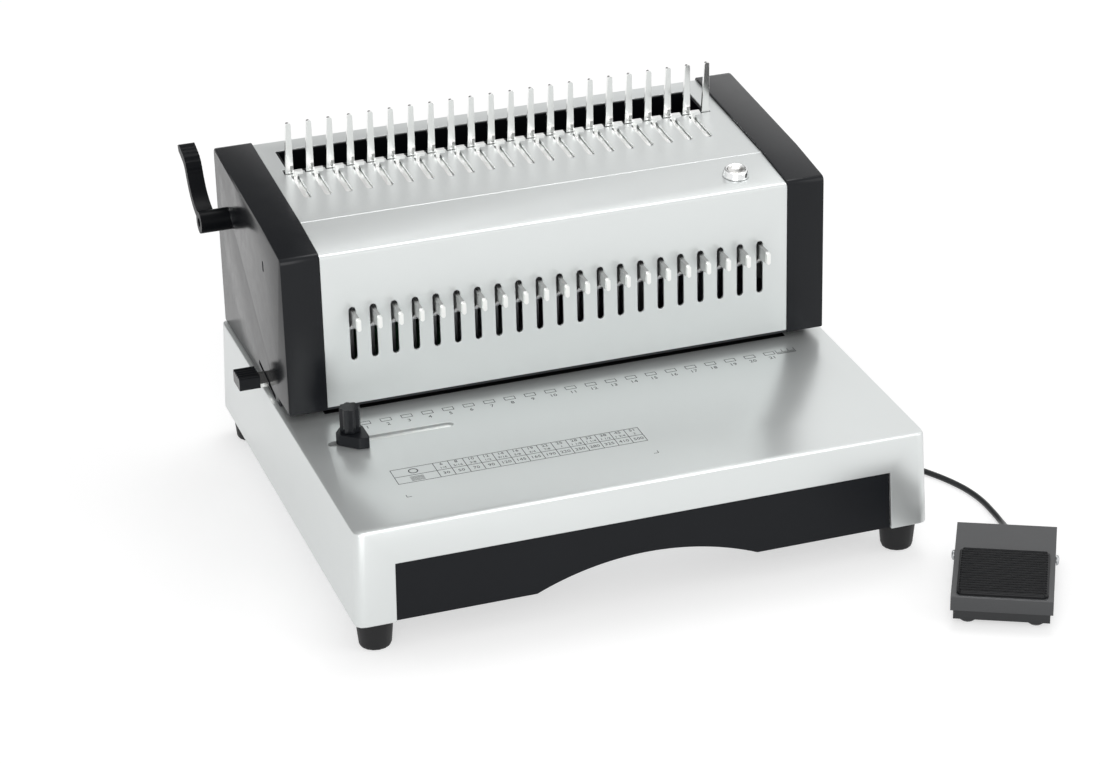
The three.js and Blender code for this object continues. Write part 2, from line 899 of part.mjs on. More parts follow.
// Side of the end caps: a little proud of the cover all round, with a step at the paper throat.
function capOutline() {
  const front = -capFrontProud;
  const rear = headDepth + capFrontProud;
  return outline([
    [front, tableTop + capThroat],
    [capStepReach, tableTop + capThroat],
    [capStepReach, tableTop + gap],
    [rear, tableTop + gap],
    [rear, tableTop + rearTopHeight + capProud, capCorner],
    [creaseReach, tableTop + creaseHeight + capProud],
    [front, tableTop + frontTopHeight + capProud, capCorner],
  ]);
}

function capHollow() {
  const front = capWall - capFrontProud;
  const rear = headDepth + capFrontProud - capWall;
  const drop = capProud - capWall;
  return outline([
    [front, tableTop - overrun],
    [rear, tableTop - overrun],
    [rear, tableTop + rearTopHeight + drop],
    [creaseReach, tableTop + creaseHeight + drop],
    [front, tableTop + frontTopHeight + drop],
  ]);
}

// Black end cap, hollow and open to the inside and below. Side is -1 on the left and 1 on the right.
function endCap(side) {
  const depth = capHalfWidth - capEdge;
  const shell = new THREE.ExtrudeGeometry(capOutline(), {
    depth,
    bevelEnabled: true,
    bevelThickness: capBevel,
    bevelSize: capBevel,
    bevelOffset: -capBevel,
    bevelSegments: 2,
    curveSegments: bendSteps,
  });
  const from = side > 0 ? capHalfWidth - capBevel - depth : capBevel - capHalfWidth;
  const place = new THREE.Matrix4().makeBasis(axisY, axisZ, axisX).setPosition(from, 0, 0);
  const inner = capEdge - depth;
  const outer = capHalfWidth - capWall;
  const mouth = side > 0 ? [inner, capEdge] : [-capEdge, -inner];
  const hollow = side > 0 ? [inner, outer] : [-outer, -inner];
  const all = capHalfWidth + overrun;
  return cut(
    solid(shell.applyMatrix4(place)),
    block(mouth[0], mouth[1], -all, headDepth + all, 0, tableTop + headDepth + all),
    alongX(capHollow(), hollow[0], hollow[1]),
  );
}

// Left end cap, with the holes of the opener shaft and the depth slider and a small sight hole.
function leftCap() {
  const out = -capHalfWidth - overrun;
  const inside = -capHalfWidth + capWall + overrun;
  const shaftHole = rodX(openerShaftRadius + gap, out, inside, openerReach, tableTop + openerHeight);
  const sightTop = tableTop + creaseHeight - sightHoleDrop + sightHoleHeight / 2;
  const sightHole = alongX(
    longHole(creaseReach, sightHoleWidth, sightTop - sightHoleHeight, sightTop),
    out, inside, slotEndSteps);
  return cut(endCap(-1), shaftHole, sightHole, alongX(sliderSlit(), out, inside));
}

// The slanted slit of the depth slider, long enough for its travel.
function sliderSlit() {
  const front = sliderFront + sliderArmInset - sliderForward - sliderSlitMargin;
  const rear = sliderFront + sliderDepth - sliderArmInset + sliderBackward + sliderSlitMargin;
  return outline([
    [front, slitZ(front) - sliderSlitTall / 2],
    [rear, slitZ(rear) - sliderSlitTall / 2],
    [rear, slitZ(rear) + sliderSlitTall / 2],
    [front, slitZ(front) + sliderSlitTall / 2],
  ]);
}

// Height of the middle of the slit.
function slitZ(reach) {
  return tableTop + sliderSlitRise + (reach - sliderFront - sliderDepth / 2) * sliderSlitSlope;
}

// Steel panel that closes the head behind, with the hole of the mains inlet.
function rearPanel() {
  const top = tableTop + rearTopHeight - coverFlange - gap;
  const panel = block(-coverEdge, coverEdge, headDepth - panelSheet, headDepth, tableTop + gap, top);
  const halfWidth = inletBodyWidth / 2 + gap;
  const halfTall = inletBodyTall / 2 + gap;
  const z = tableTop + inletHeight;
  return cut(panel, block(-inletPlace - halfWidth, -inletPlace + halfWidth,
    headDepth - overrun, headDepth + overrun, z - halfTall, z + halfTall));
}

// Two bent uprights on a floor plate, which carry the die, the ram guides and both shafts.
function mechanismFrame() {
  const top = tableTop + frameHeight;
  const floor = tableTop + gap;
  const side = outline([
    [frameFront, tableTop + frameThroat],
    [frameNotchReach, tableTop + frameThroat],
    [frameNotchReach, floor],
    [frameRear, floor],
    [frameRear, top, frameCorner],
    [frameFront, top, frameCorner],
  ]);
  const outer = frameInner + frameSheet;
  const window = outline([
    [frameFloorFront + camRadius * 2, tableTop + frameCorner * 2],
    [frameRear - frameCorner, tableTop + frameCorner * 2],
    [frameRear - frameCorner, tableTop + camHeight],
    [frameFloorFront + camRadius * 2, tableTop + camHeight],
  ], frameCorner);
  const tongueLow = tableTop + (ramLow + ramHigh - ramTongueLong) / 2 - ramStroke - gap;
  const tongueHigh = tableTop + (ramLow + ramHigh + ramTongueLong) / 2 + gap;
  const tongueHalf = ramTongue / 2 + gap;
  const web = block(-outer, outer, frameFloorFront, frameRear, floor, floor + frameFloorSheet);
  const plates = joined(alongX(side, -outer, -frameInner), alongX(side, frameInner, outer), web);
  const wide = outer + overrun;
  return cut(
    plates,
    alongX(window, -wide, -frameInner + overrun),
    alongX(window, frameInner - overrun, wide),
    rodX(camShaftRadius + gap, -wide, wide, camReach, tableTop + camHeight),
    rodX(openerShaftRadius + gap, -wide, wide, openerReach, tableTop + openerHeight),
    block(-wide, wide, punchReach - tongueHalf, punchReach + tongueHalf, tongueLow, tongueHigh),
  );
}

// Die: a C-shaped block with the paper throat between its plates, and a hole for each punch.
function punchDieSet() {
  const low = tableTop - dieLowerSheet;
  const throat = tableTop + dieGap;
  const top = throat + dieUpperHeight;
  const section = outline([
    [dieFront, low],
    [dieRear, low],
    [dieRear, top],
    [dieFront, top],
    [dieFront, throat],
    [dieRear - dieWeb, throat],
    [dieRear - dieWeb, tableTop],
    [dieFront, tableTop],
  ]);
  const half = frameInner - gap;
  const holes = [];
  for (let index = 0; index < slotCount; index += 1) {
    holes.push(punchBar(index, gap, low - overrun, top + overrun));
  }
  return cut(alongX(section, -half, half), ...holes);
}

// The section of one punch, grown by a clearance.
function punchBar(index, grow, low, high) {
  const x = slotX(index);
  const halfWidth = punchWidth / 2 + grow;
  const halfDepth = punchDepth / 2 + grow;
  return block(x - halfWidth, x + halfWidth, punchReach - halfDepth, punchReach + halfDepth, low, high);
}

// Ram: a bar with a pocket for each selector, the punches below it, guide tongues and cam yokes.
function punchRam() {
  const low = tableTop + ramLow;
  const high = tableTop + ramHigh;
  const rear = ramFront + ramDepth;
  const bar = block(-ramHalfWidth, ramHalfWidth, ramFront, rear, low, high);
  const pocketHalf = bladeSheet / 2 + gap;
  const pocketRear = bladeTail + gap;
  const bladeLow = tableTop + bladeTop - bladeHeight - shelfDrop - shelfSheet;
  const tongueTall = ramTongueLong / 2;
  const middle = tableTop + (ramLow + ramHigh) / 2;
  const reach = frameInner + frameSheet + ramTongue / 4;
  const tongue = block(-reach, reach, punchReach - ramTongue / 2, punchReach + ramTongue / 2,
    middle - tongueTall, middle + tongueTall);
  const outer = ramHalfWidth - camWidth / 4;
  const yokes = [-1, 1].map((side) => {
    const faces = [side * outer, side * (outer - yokeSheet)].sort((a, b) => a - b);
    return cut(
      alongX(yokeOutline(yokeWall, ramFront + ramDepth / 2), faces[0], faces[1]),
      alongX(yokeOutline(0, yokeFront()), faces[0] - overrun, faces[1] + overrun),
    );
  });
  const punches = [];
  const pockets = [];
  for (let index = 0; index < slotCount; index += 1) {
    const x = slotX(index);
    punches.push(punchBar(index, 0, tableTop + punchTip, low + ramTongue / 2));
    pockets.push(block(x - pocketHalf, x + pocketHalf, ramFront - overrun, pocketRear,
      bladeLow - gap, tableTop + bladeTop + gap));
  }
  return cut(joined(bar, tongue, ...yokes, ...punches), ...pockets);
}

function yokeFront() {
  return camReach - camRadius - yokeClearance;
}

// The window of a cam yoke, or its outer edge when a wall is added round it.
function yokeOutline(wall, front) {
  const rear = camReach + camRadius + ramStroke / 2 + yokeClearance + wall;
  const middle = tableTop + yokeRise;
  const half = camRadius + yokeClearance + wall;
  return rectangle(front, rear, middle - half, middle + half);
}

// Cam shaft with an eccentric at each end, drawn with the ram at the top of its stroke.
function camShaft() {
  const z = tableTop + camHeight;
  const end = frameInner + frameSheet + gap * 4;
  const middle = ramHalfWidth - camWidth / 4 - yokeSheet / 2;
  const discs = [-1, 1].map((side) => {
    const x = side * middle;
    return rodX(camRadius, x - camWidth / 2, x + camWidth / 2, camReach, z + ramStroke / 2);
  });
  return joined(rodX(camShaftRadius, -end, end, camReach, z), ...discs);
}

// Gear motor: a gear box round the cam shaft that stands on the frame's floor, and a round motor.
function gearMotor() {
  const z = tableTop + camHeight;
  const foot = tableTop + gap + frameFloorSheet + gap;
  const right = gearBoxPlace + gearBoxWidth;
  const box = alongX(outline([
    [gearBoxFront, foot],
    [gearBoxFront + gearBoxDepth, foot],
    [gearBoxFront + gearBoxDepth, tableTop + gearBoxTop, frameCorner],
    [gearBoxFront, tableTop + gearBoxTop, frameCorner],
  ]), gearBoxPlace, right);
  return cut(
    joined(
      box,
      rodX(motorRadius, gearBoxPlace - motorLength, gearBoxPlace + jackWide, motorBack, z),
      rodX(motorNeck, gearBoxPlace, right + motorNeckLength, motorBack, z),
    ),
    rodX(camShaftRadius + gap, gearBoxPlace - motorLength - overrun, right + overrun, camReach, z),
  );
}

// Control board on four posts, with a transformer and a row of terminals.
function controlBoard() {
  const low = tableTop + gap + frameFloorSheet + gap;
  const top = low + boardRise + boardSheet;
  const halfWidth = boardWidth / 2;
  const halfDepth = boardDepth / 2;
  const plate = block(-boardPlace - halfWidth, -boardPlace + halfWidth,
    boardReach - halfDepth, boardReach + halfDepth, low + boardRise, top);
  const posts = [];
  for (const x of [-halfWidth + boardPostInset, halfWidth - boardPostInset]) {
    for (const y of [-halfDepth + boardPostInset, halfDepth - boardPostInset]) {
      posts.push(rodZ(boardPost, low, low + boardRise + boardSheet / 2, x - boardPlace, y + boardReach,
        postSteps));
    }
  }
  const transformer = block(-boardPlace - boardPartWide / 2, -boardPlace + boardPartWide / 2,
    boardReach - boardPartDeep / 2, boardReach + boardPartDeep / 2,
    top - boardSheet / 2, top + boardPartHeight);
  const rowHalf = halfWidth - boardPostInset * 2;
  const terminals = block(-boardPlace - rowHalf, -boardPlace + rowHalf,
    boardReach + halfDepth - boardPostInset * 2, boardReach + halfDepth - boardPostInset,
    top - boardSheet / 2, top + boardPartHeight / 2);
  return joined(plate, ...posts, transformer, terminals);
}

// Selector of one die: a steel blade that slides in the ram and sticks out of its front slot.
function selector(index) {
  const x = slotX(index);
  const half = bladeSheet / 2;
  const top = tableTop + bladeTop;
  const low = top - bladeHeight;
  const tipTop = top - bladeTipDrop;
  const blade = alongX(outline([
    [-bladeReach + bladeHead / 2, tipTop - bladeTipHeight],
    [0, low],
    [bladeTail, low],
    [bladeTail, top],
    [0, top],
    [-bladeReach + bladeHead / 2, tipTop],
  ]), x - half, x + half);
  const headHalf = bladeHeadWide / 2;
  const headLow = tipTop - bladeTipHeight - gap;
  const head = alongY(rectangle(x - headHalf, x + headHalf, headLow, tipTop, bladeRound),
    -bladeReach, -bladeReach + bladeHead, 1);
  const shelfLow = low - shelfDrop - shelfSheet;
  const web = block(x - half, x + half, 0, shelfDepth, shelfLow, low + bladeRound);
  const shelf = block(x - shelfOut, x + half, 0, shelfDepth, shelfLow, shelfLow + shelfSheet);
  return joined(blade, head, web, shelf);
}

// Hook plate: a sheet under the top with 21 hooks, and an arm with a rack at each end.
function openerHookPlate() {
  const under = -coverSheet - hookDrop;
  const front = alongAt(hookPlateFront);
  const rear = alongAt(hookPlateRear);
  const outer = armInner + armWidth;
  const plate = alongX(slopeOutline([
    [front, under - hookSheet], [rear, under - hookSheet], [rear, under], [front, under],
  ]), -outer, outer);
  const legFront = alongAt(hookLegFront);
  const leg = slopeOutline([
    [legFront, under - hookSheet / 2],
    [legFront + hookLegDepth, under - hookSheet / 2],
    [legFront + hookLegDepth, hookRise],
    [legFront, hookRise],
  ]);
  const bar = slopeOutline([
    [legFront, hookRise - hookBarHeight],
    [legFront + hookLegDepth, hookRise - hookBarHeight],
    [legFront + hookLegDepth, hookRise],
    [legFront, hookRise],
  ]);
  const hooks = [];
  for (let index = 0; index < slotCount; index += 1) {
    const x = slotX(index);
    const half = hookLegWidth / 2;
    hooks.push(alongX(leg, x - hookLegShift - half, x - hookLegShift + half));
    hooks.push(alongX(bar, x - hookBarLeft, x + hookBarRight));
  }
  const rack = rackArm(under);
  return joined(plate, alongX(rack, -outer, -armInner), alongX(rack, armInner, outer), ...hooks);
}

function slopeOutline(points) {
  return outline(points.map(([along, up]) => onTop(along, up)));
}

// The opener shaft seen in the frame of the slope.
function shaftOnSlope() {
  const y = openerReach - creaseReach;
  const z = openerHeight - creaseHeight;
  return {
    along: y * Math.cos(topSlope) + z * Math.sin(topSlope),
    up: z * Math.cos(topSlope) - y * Math.sin(topSlope),
  };
}

// Side of a rack arm: a long bar whose teeth point down to the pinion. A gap stands over its axis.
function rackArm(top) {
  const shaft = shaftOnSlope();
  const pitchLine = shaft.up + pitchRadius;
  const toothPitch = Math.PI * gearModule;
  const slant = Math.tan(pressureDegrees * degree);
  const half = toothPitch / 4 - backlash / 4;
  const root = pitchLine + gearModule * pinionRootShare;
  const tip = pitchLine - gearModule * rackHeadShare;
  const rootHalf = half + (root - pitchLine) * slant;
  const tipHalf = half - (pitchLine - tip) * slant;
  const front = alongAt(hookPlateRear - hookTravel);
  const rear = alongAt(armRear);
  const points = [[front, top], [front, root]];
  for (let tooth = rackFirstTooth; tooth < rackFirstTooth + rackTeeth; tooth += 1) {
    const middle = shaft.along + (tooth + halfShare) * toothPitch;
    points.push([middle - rootHalf, root], [middle - tipHalf, tip]);
    points.push([middle + tipHalf, tip], [middle + rootHalf, root]);
  }
  points.push([rear, root], [rear, top]);
  return slopeOutline(points);
}

// Outline of a pinion with involute teeth, one of which points straight up from the slope.
function pinionOutline() {
  const angle = pressureDegrees * degree;
  const baseRadius = pitchRadius * Math.cos(angle);
  const tipRadius = pitchRadius + gearModule;
  const rootRadius = pitchRadius - gearModule * pinionRootShare;
  const involute = (radius) => {
    const turn = Math.acos(Math.min(baseRadius / radius, 1));
    return Math.tan(turn) - turn;
  };
  const pitchHalf = (Math.PI * gearModule / 4 - backlash / 4) / pitchRadius;
  const halfAt = (radius) => pitchHalf + involute(pitchRadius) - involute(radius);
  const flank = [
    [rootRadius, halfAt(baseRadius)],
    [pitchRadius, halfAt(pitchRadius)],
    [tipRadius, halfAt(tipRadius)],
  ];
  const points = [];
  for (let tooth = 0; tooth < pinionTeeth; tooth += 1) {
    const middle = Math.PI / 2 + topSlope + (tooth * 2 * Math.PI) / pinionTeeth;
    const place = ([radius, turn]) => [
      openerReach + radius * Math.cos(middle + turn),
      tableTop + openerHeight + radius * Math.sin(middle + turn),
    ];
    flank.forEach(([radius, turn]) => points.push(place([radius, -turn])));
    [...flank].reverse().forEach(([radius, turn]) => points.push(place([radius, turn])));
  }
  return outline(points);
}

// Opener shaft with a pinion under each rack.
function openerShaft() {
  const outer = armInner + pinionWidth;
  const pinion = pinionOutline();
  const right = frameInner + frameSheet + gap * 4;
  return joined(
    rodX(openerShaftRadius, -openerShaftEnd, right, openerReach, tableTop + openerHeight),
    alongX(pinion, -outer, -armInner),
    alongX(pinion, armInner, outer),
  );
}

// Lever with a long hub on the opener shaft, an S-shaped arm and a ribbed grip.
function openerLever() {
  const z = tableTop + openerHeight;
  const hub = rodX(hubRadius, -hubEnd, -capHalfWidth - gap, openerReach, z);
  const bore = rodX(hubBore, -openerShaftEnd - gap, -capHalfWidth + overrun, openerReach, z);
  const hole = rodX(hubHole, -hubEnd - overrun, -hubEnd + hubHoleDepth, openerReach, z);
  const arm = alongX(leverOutline(), -hubEnd + leverInset, -hubEnd + leverInset + leverWidth);
  return cut(joined(hub, arm), bore, hole);
}

function leverOutline() {
  const curve = new THREE.SplineCurve(leverRunShares.map((share, index) => new THREE.Vector2(
    openerReach + leverRun * share,
    tableTop + openerHeight + leverRise * leverRiseShares[index],
  )));
  const side = (share, offset) => {
    const point = curve.getPointAt(share);
    const tangent = curve.getTangentAt(share);
    return [point.x - tangent.y * offset, point.y + tangent.x * offset];
  };
  const half = leverThickness / 2;
  const lower = [];
  const upper = [];
  for (let step = 0; step <= leverSteps; step += 1) {
    lower.push(side(step / leverSteps, -half));
  }
  const plain = 1 - gripLengthShare;
  for (let step = 0; step < leverSteps / 2; step += 1) {
    upper.push(side((plain * step) / (leverSteps / 2), half));
  }
  for (let step = 0; step <= gripRibs * 2; step += 1) {
    const rise = step % 2 === 0 ? 0 : gripRibHeight;
    upper.push(side(plain + (gripLengthShare * step) / (gripRibs * 2), half + rise));
  }
  const tip = [...side(1, 0)];
  const tangent = curve.getTangentAt(1);
  const nose = [tip[0] + tangent.x * half, tip[1] + tangent.y * half];
  return outline([...lower, nose, ...upper.reverse()]);
}

// Finger plate: a leaning steel comb with a finger on each side of every hook.
function combFingerPlate() {
  const half = armInner - fingerWebGap;
  const wing = frameInner - gap;
  const web = -fingerWebDrop;
  const low = -fingerWebLength;
  const points = [[-wing, low], [wing, low], [wing, low + fingerWingHeight],
    [half, low + fingerWingHeight], [half, web]];
  for (let index = fingerCount - 1; index >= 0; index -= 1) {
    const x = fingerX(index);
    points.push(
      [x + fingerFootWidth / 2, web],
      [x + fingerTipWidth / 2, fingerLength, fingerTipWidth / 2 - gap],
      [x - fingerTipWidth / 2, fingerLength, fingerTipWidth / 2 - gap],
      [x - fingerFootWidth / 2, web],
    );
  }
  points.push([-half, web], [-half, low + fingerWingHeight], [-wing, low + fingerWingHeight]);
  const lean = fingerLeanDegrees * degree;
  const up = new THREE.Vector3(0, -Math.sin(lean), Math.cos(lean));
  const out = new THREE.Vector3().crossVectors(axisX, up);
  const place = new THREE.Matrix4().makeBasis(axisX, up, out);
  place.setPosition(
    0,
    fingerReach - (out.y * fingerSheet) / 2,
    tableTop + fingerFoot - (out.z * fingerSheet) / 2,
  );
  return solid(extruded(outline(points), fingerSheet).applyMatrix4(place));
}

// Black trough behind the fingers, open at the top and flush with the slope.
function combWell() {
  const front = wellFront + wellFrontGap;
  const rear = wellRear - gap;
  const low = tableTop + wellFloorHeight;
  const section = (inset, floor, rise) => outline([
    [front + inset, floor],
    [rear - inset, floor],
    [rear - inset, topZ(rear - inset) + rise],
    [front + inset, topZ(front + inset) + rise],
  ]);
  const half = wellHalfWidth - gap;
  return cut(
    alongX(section(0, low, -wellTopDrop), -half, half),
    alongX(section(wellWall, low + wellWall, overrun), wellWall - half, half - wellWall),
  );
}

// Bar that stops the paper in the throat, with a plate that joins it to the slider's shoe.
function depthStopBar() {
  const low = tableTop + gap;
  const right = frameInner - gap;
  const bar = block(-stopEndPlace, right, stopReach, stopReach + stopDepth, low, low + stopSheet);
  const plate = block(-stopEndPlace, -stopEndPlace + stopEndSheet, stopReach,
    sliderFront + sliderDepth, low, tableTop + sliderTop - sliderRibHeight);
  return joined(bar, plate);
}

// Depth slider: a ribbed grip outside, an arm through the slit and a shoe against the wall inside.
function depthSlider() {
  const rear = sliderFront + sliderDepth;
  const armFront = sliderFront + sliderArmInset;
  const armRear = rear - sliderArmInset;
  const middle = tableTop + sliderSlitRise;
  const half = sliderArmSheet / 2;
  const tall = sliderShoeTall / 2;
  const wall = capHalfWidth - capWall;
  const grip = block(-sliderOuter, -sliderInner, sliderFront, rear,
    tableTop + sliderLow, tableTop + sliderTop);
  const slant = (y) => (y - sliderFront - sliderDepth / 2) * sliderSlitSlope;
  const arm = alongX(outline([
    [armFront, middle + slant(armFront) - half],
    [armRear, middle + slant(armRear) - half],
    [armRear, middle + slant(armRear) + half],
    [armFront, middle + slant(armFront) + half],
  ]), -sliderInner - gap, -stopEndPlace - sliderArmInset);
  const shoe = block(-wall + gap, -stopEndPlace - gap, armFront, armRear, middle - tall, middle + tall);
  const ribs = [];
  for (let rib = 0; rib < sliderRibs; rib += 1) {
    const y = sliderFront + (sliderDepth * (rib + halfShare)) / sliderRibs;
    const wide = sliderDepth / sliderRibs / 4;
    ribs.push(block(-sliderOuter, -sliderInner, y - wide, y + wide,
      tableTop + sliderTop - gap, tableTop + sliderTop + sliderRibHeight));
  }
  return joined(grip, arm, shoe, ...ribs);
}

// Edge guide on the table: a pointed plate with a key that runs in the slot.
function edgeStop() {
  const points = guideLengthShares.map((share, index) => [
    -guideKnobPlace + guideBreadth * guideBreadthShares[index],
    -guideSlotReach + guideLength * share,
  ]);
  const plate = alongZ(outline(points.reverse(), guideHeight / 4), tableTop + gap, tableTop + guideHeight);
  const halfKey = guideSlotWidth / 2 - gap;
  const key = alongZ(flatHole(-guideKnobPlace - guideTongueLong / 2, -guideKnobPlace + guideTongueLong / 2,
    -guideSlotReach, 2 * halfKey), tableTop - guideTongue, tableTop + guideHeight / 2, slotEndSteps);
  const bore = rodZ(guideBore, tableTop - overrun, tableTop + guideHeight + overrun,
    -guideKnobPlace, -guideSlotReach);
  return cut(joined(plate, key), bore);
}

// Fluted knob with the screw and nut that hold the edge guide.
function edgeStopKnob() {
  const shape = new THREE.Shape();
  const steps = knobFlutes * 4;
  for (let step = 0; step < steps; step += 1) {
    const turn = (step * 2 * Math.PI) / steps;
    const radius = knobRadius - knobFlute * (1 - Math.cos(turn * knobFlutes)) / 2;
    const x = radius * Math.cos(turn) - guideKnobPlace;
    const y = radius * Math.sin(turn) - guideSlotReach;
    if (step === 0) shape.moveTo(x, y);
    else shape.lineTo(x, y);
  }
  shape.closePath();
  const low = tableTop + guideHeight + gap;
  const nutTop = tableTop - baseTopSheet - guideRimDrop - gap;
  return joined(
    alongZ(shape, low, low + knobHeight),
    rodZ(knobStem, nutTop - knobNutHeight / 2, low + knobHeight / 2, -guideKnobPlace, -guideSlotReach,
      postSteps),
    rodZ(knobNutRadius, nutTop - knobNutHeight, nutTop, -guideKnobPlace, -guideSlotReach, nutSteps),
  );
}

// Mains inlet: a flanged block with a three-pin socket and a pocket for the rocker.
function mainsInlet() {
  const z = tableTop + inletHeight;
  const rear = headDepth + gap;
  const flange = alongY(
    rectangle(-inletPlace - inletWidth / 2, -inletPlace + inletWidth / 2,
      z - inletTall / 2, z + inletTall / 2, inletFlange),
    rear, rear + inletFlange);
  const body = block(-inletPlace - inletBodyWidth / 2, -inletPlace + inletBodyWidth / 2,
    rear - inletBodyDepth, rear + gap, z - inletBodyTall / 2, z + inletBodyTall / 2);
  const socketX = -inletPlace - socketPlace;
  const floor = rear + inletFlange - socketDepth;
  const socket = block(socketX - socketWidth / 2, socketX + socketWidth / 2, floor, rear + overrun,
    z - socketTall / 2, z + socketTall / 2);
  const pins = [-1, 0, 1].map((place) => {
    const x = socketX + place * pinSpacing;
    const middle = z - gap + (place === 0 ? pinShort : 0);
    return block(x - pinWidth / 2, x + pinWidth / 2, floor - gap, rear - gap,
      middle - pinTall / 2, middle + pinTall / 2);
  });
  const pocketX = -inletPlace + rockerPlace;
  const halfWidth = rockerWidth / 2 + gap;
  const halfTall = rockerTall / 2 + rockerPocketGap;
  const pocket = block(pocketX - halfWidth, pocketX + halfWidth,
    rear + inletFlange - rockerDepth - rockerPocketGap * 2, rear + overrun, z - halfTall, z + halfTall);
  return joined(cut(joined(flange, body), socket, pocket), ...pins);
}

// Rocker with two faces that meet in a shallow dip, drawn tipped to its off side.
function rockerSwitch() {
  const z = tableTop + inletHeight;
  const face = headDepth + gap + inletFlange;
  const half = rockerTall / 2;
  const shape = outline([
    [-rockerDepth, -half],
    [rockerStand, -half],
    [rockerStand - gap * 4, 0],
    [rockerStand, half],
    [-rockerDepth, half],
  ]);
  const x = -inletPlace + rockerPlace;
  const geometry = extruded(shape, rockerWidth);
  const place = new THREE.Matrix4().makeBasis(axisY, axisZ, axisX).setPosition(-rockerWidth / 2, 0, 0);
  geometry.applyMatrix4(place).rotateX(-rockerTiltDegrees * degree / 2);
  return solid(geometry.translate(x, face, z));
}

// Pedal pan: a floor with four walls, two ears for the pivot and four rubber feet.
function pedalBase() {
  const half = pedalWidth / 2;
  const front = pedalSheet + pedalLipRoom;
  const inner = half - pedalSheet;
  const floor = block(-half, half, front, pedalDepth, pedalLow, pedalLow + pedalSheet);
  const frontWall = alongY(outline([
    [-half, pedalLow, pedalCorner],
    [half, pedalLow, pedalCorner],
    [half, pedalLow + pedalFrontWall],
    [-half, pedalLow + pedalFrontWall],
  ]), front, front + pedalSheet);
  const rearWall = block(-half, half, pedalDepth - pedalSheet, pedalDepth,
    pedalLow, pedalLow + pedalRearWall);
  const earFront = pivotReach - pedalEarWidth / 2;
  const earRear = pivotReach + pedalEarWidth / 2;
  const side = outline([
    [front, pedalLow],
    [pedalDepth, pedalLow],
    [pedalDepth, pedalLow + pedalSideWall],
    [earRear, pedalLow + pedalSideWall],
    [earRear, pedalLow + pedalEarHeight, pedalCorner],
    [earFront, pedalLow + pedalEarHeight, pedalCorner],
    [earFront, pedalLow + pedalSideWall],
    [front, pedalLow + pedalSideWall],
  ]);
  const feet = [];
  for (const x of [-half + pedalFootInset, half - pedalFootInset]) {
    for (const y of [pedalFootFront, pedalDepth - pedalFootInset]) {
      feet.push(solid(turned([
        [0, 0],
        [pedalFootRadius * (1 - roundShare), 0],
        [pedalFootRadius, pedalLow / 2],
        [pedalFootRadius, pedalLow + pedalSheet / 2],
        [0, pedalLow + pedalSheet / 2],
      ], footSteps).translate(x, y, 0)));
    }
  }
  return cut(
    joined(floor, frontWall, rearWall, alongX(side, -half, -inner), alongX(side, inner, half), ...feet),
    rodX(pivotRadius + gap, -half - overrun, half + overrun, pivotReach, pivotHeight, pinSteps),
    rodY(pedalReliefNeck + gap, pedalDepth - overrun, pedalDepth + overrun, 0, pedalReliefHeight, pinSteps),
  );
}

// Height of the top of the pedal cover at a place along its depth.
function pedalTop(y) {
  return pedalCoverFrontHeight + ((pedalCoverRearHeight - pedalCoverFrontHeight) * y) / pedalCoverDepth;
}

// Pedal cover: a sloping plate with side flanges and a short lip in front.
function pedalCover() {
  const half = pedalCoverWidth / 2;
  const plate = alongX(outline([
    [0, pedalTop(0) - pedalLipDrop],
    [pedalSheet, pedalTop(0) - pedalLipDrop],
    [pedalSheet, pedalTop(pedalSheet) - pedalSheet],
    [pedalCoverDepth, pedalTop(pedalCoverDepth) - pedalSheet],
    [pedalCoverDepth, pedalTop(pedalCoverDepth)],
    [0, pedalTop(0), pedalSheet / 2],
  ]), -half, half);
  const flange = outline([
    [0, pedalFlangeLow],
    [pedalCoverDepth, pedalFlangeLow],
    [pedalCoverDepth, pedalTop(pedalCoverDepth)],
    [0, pedalTop(0), pedalSheet / 2],
  ]);
  return cut(
    joined(plate, alongX(flange, -half, -half + pedalSheet), alongX(flange, half - pedalSheet, half)),
    rodX(pivotRadius + gap, -half - overrun, half + overrun, pivotReach, pivotHeight, pinSteps),
  );
}

// Rubber pad with ribs across the pedal, lying on the sloping cover.
function pedalPad() {
  const rear = padFront + padDepth;
  const low = (y) => pedalTop(y) + gap;
  const points = [[rear, low(rear)], [rear, low(rear) + padSheet]];
  for (let rib = padRibs - 1; rib >= 0; rib -= 1) {
    const start = padFront + (padDepth * rib) / padRibs;
    const wide = padDepth / padRibs;
    points.push(
      [start + wide * ribTopShare, low(start) + padSheet + padRibHeight],
      [start + wide * ribFootShare, low(start) + padSheet + padRibHeight],
      [start, low(start) + padSheet],
    );
  }
  points.push([padFront, low(padFront)]);
  const half = padWidth / 2;
  return alongX(outline(points), -half, half)
    .intersect(alongZ(rectangle(-half, half, padFront, rear, padCorner), 0, pedalCoverWidth));
}

// Pivot screws of the pedal, drawn as one pin with a head at each side.
function pedalPivotPin() {
  const half = pedalCoverWidth / 2 + gap;
  const head = half + pivotHeadHeight;
  return joined(
    rodX(pivotRadius, -half - gap, half + gap, pivotReach, pivotHeight, pinSteps),
    rodX(pivotHeadRadius, -head, -half, pivotReach, pivotHeight, pinSteps),
    rodX(pivotHeadRadius, half, head, pivotReach, pivotHeight, pinSteps),
  );
}

// Tapered strain relief that stands on a wall at the origin and points back.
function cordRelief(neck, wall, length) {
  return turned([
    [0, -wall - gap * 2],
    [neck, -wall - gap * 2],
    [neck, gap * 2],
    [reliefFlangeRadius * neck / reliefNeckRadius, gap * 2],
    [reliefFlangeRadius * neck / reliefNeckRadius, gap * 2 + reliefFlange],
    [reliefBaseRadius * neck / reliefNeckRadius, gap * 2 + reliefFlange],
    [reliefTipRadius, length],
    [0, length],
  ], pinSteps).rotateX(-Math.PI / 2);
}

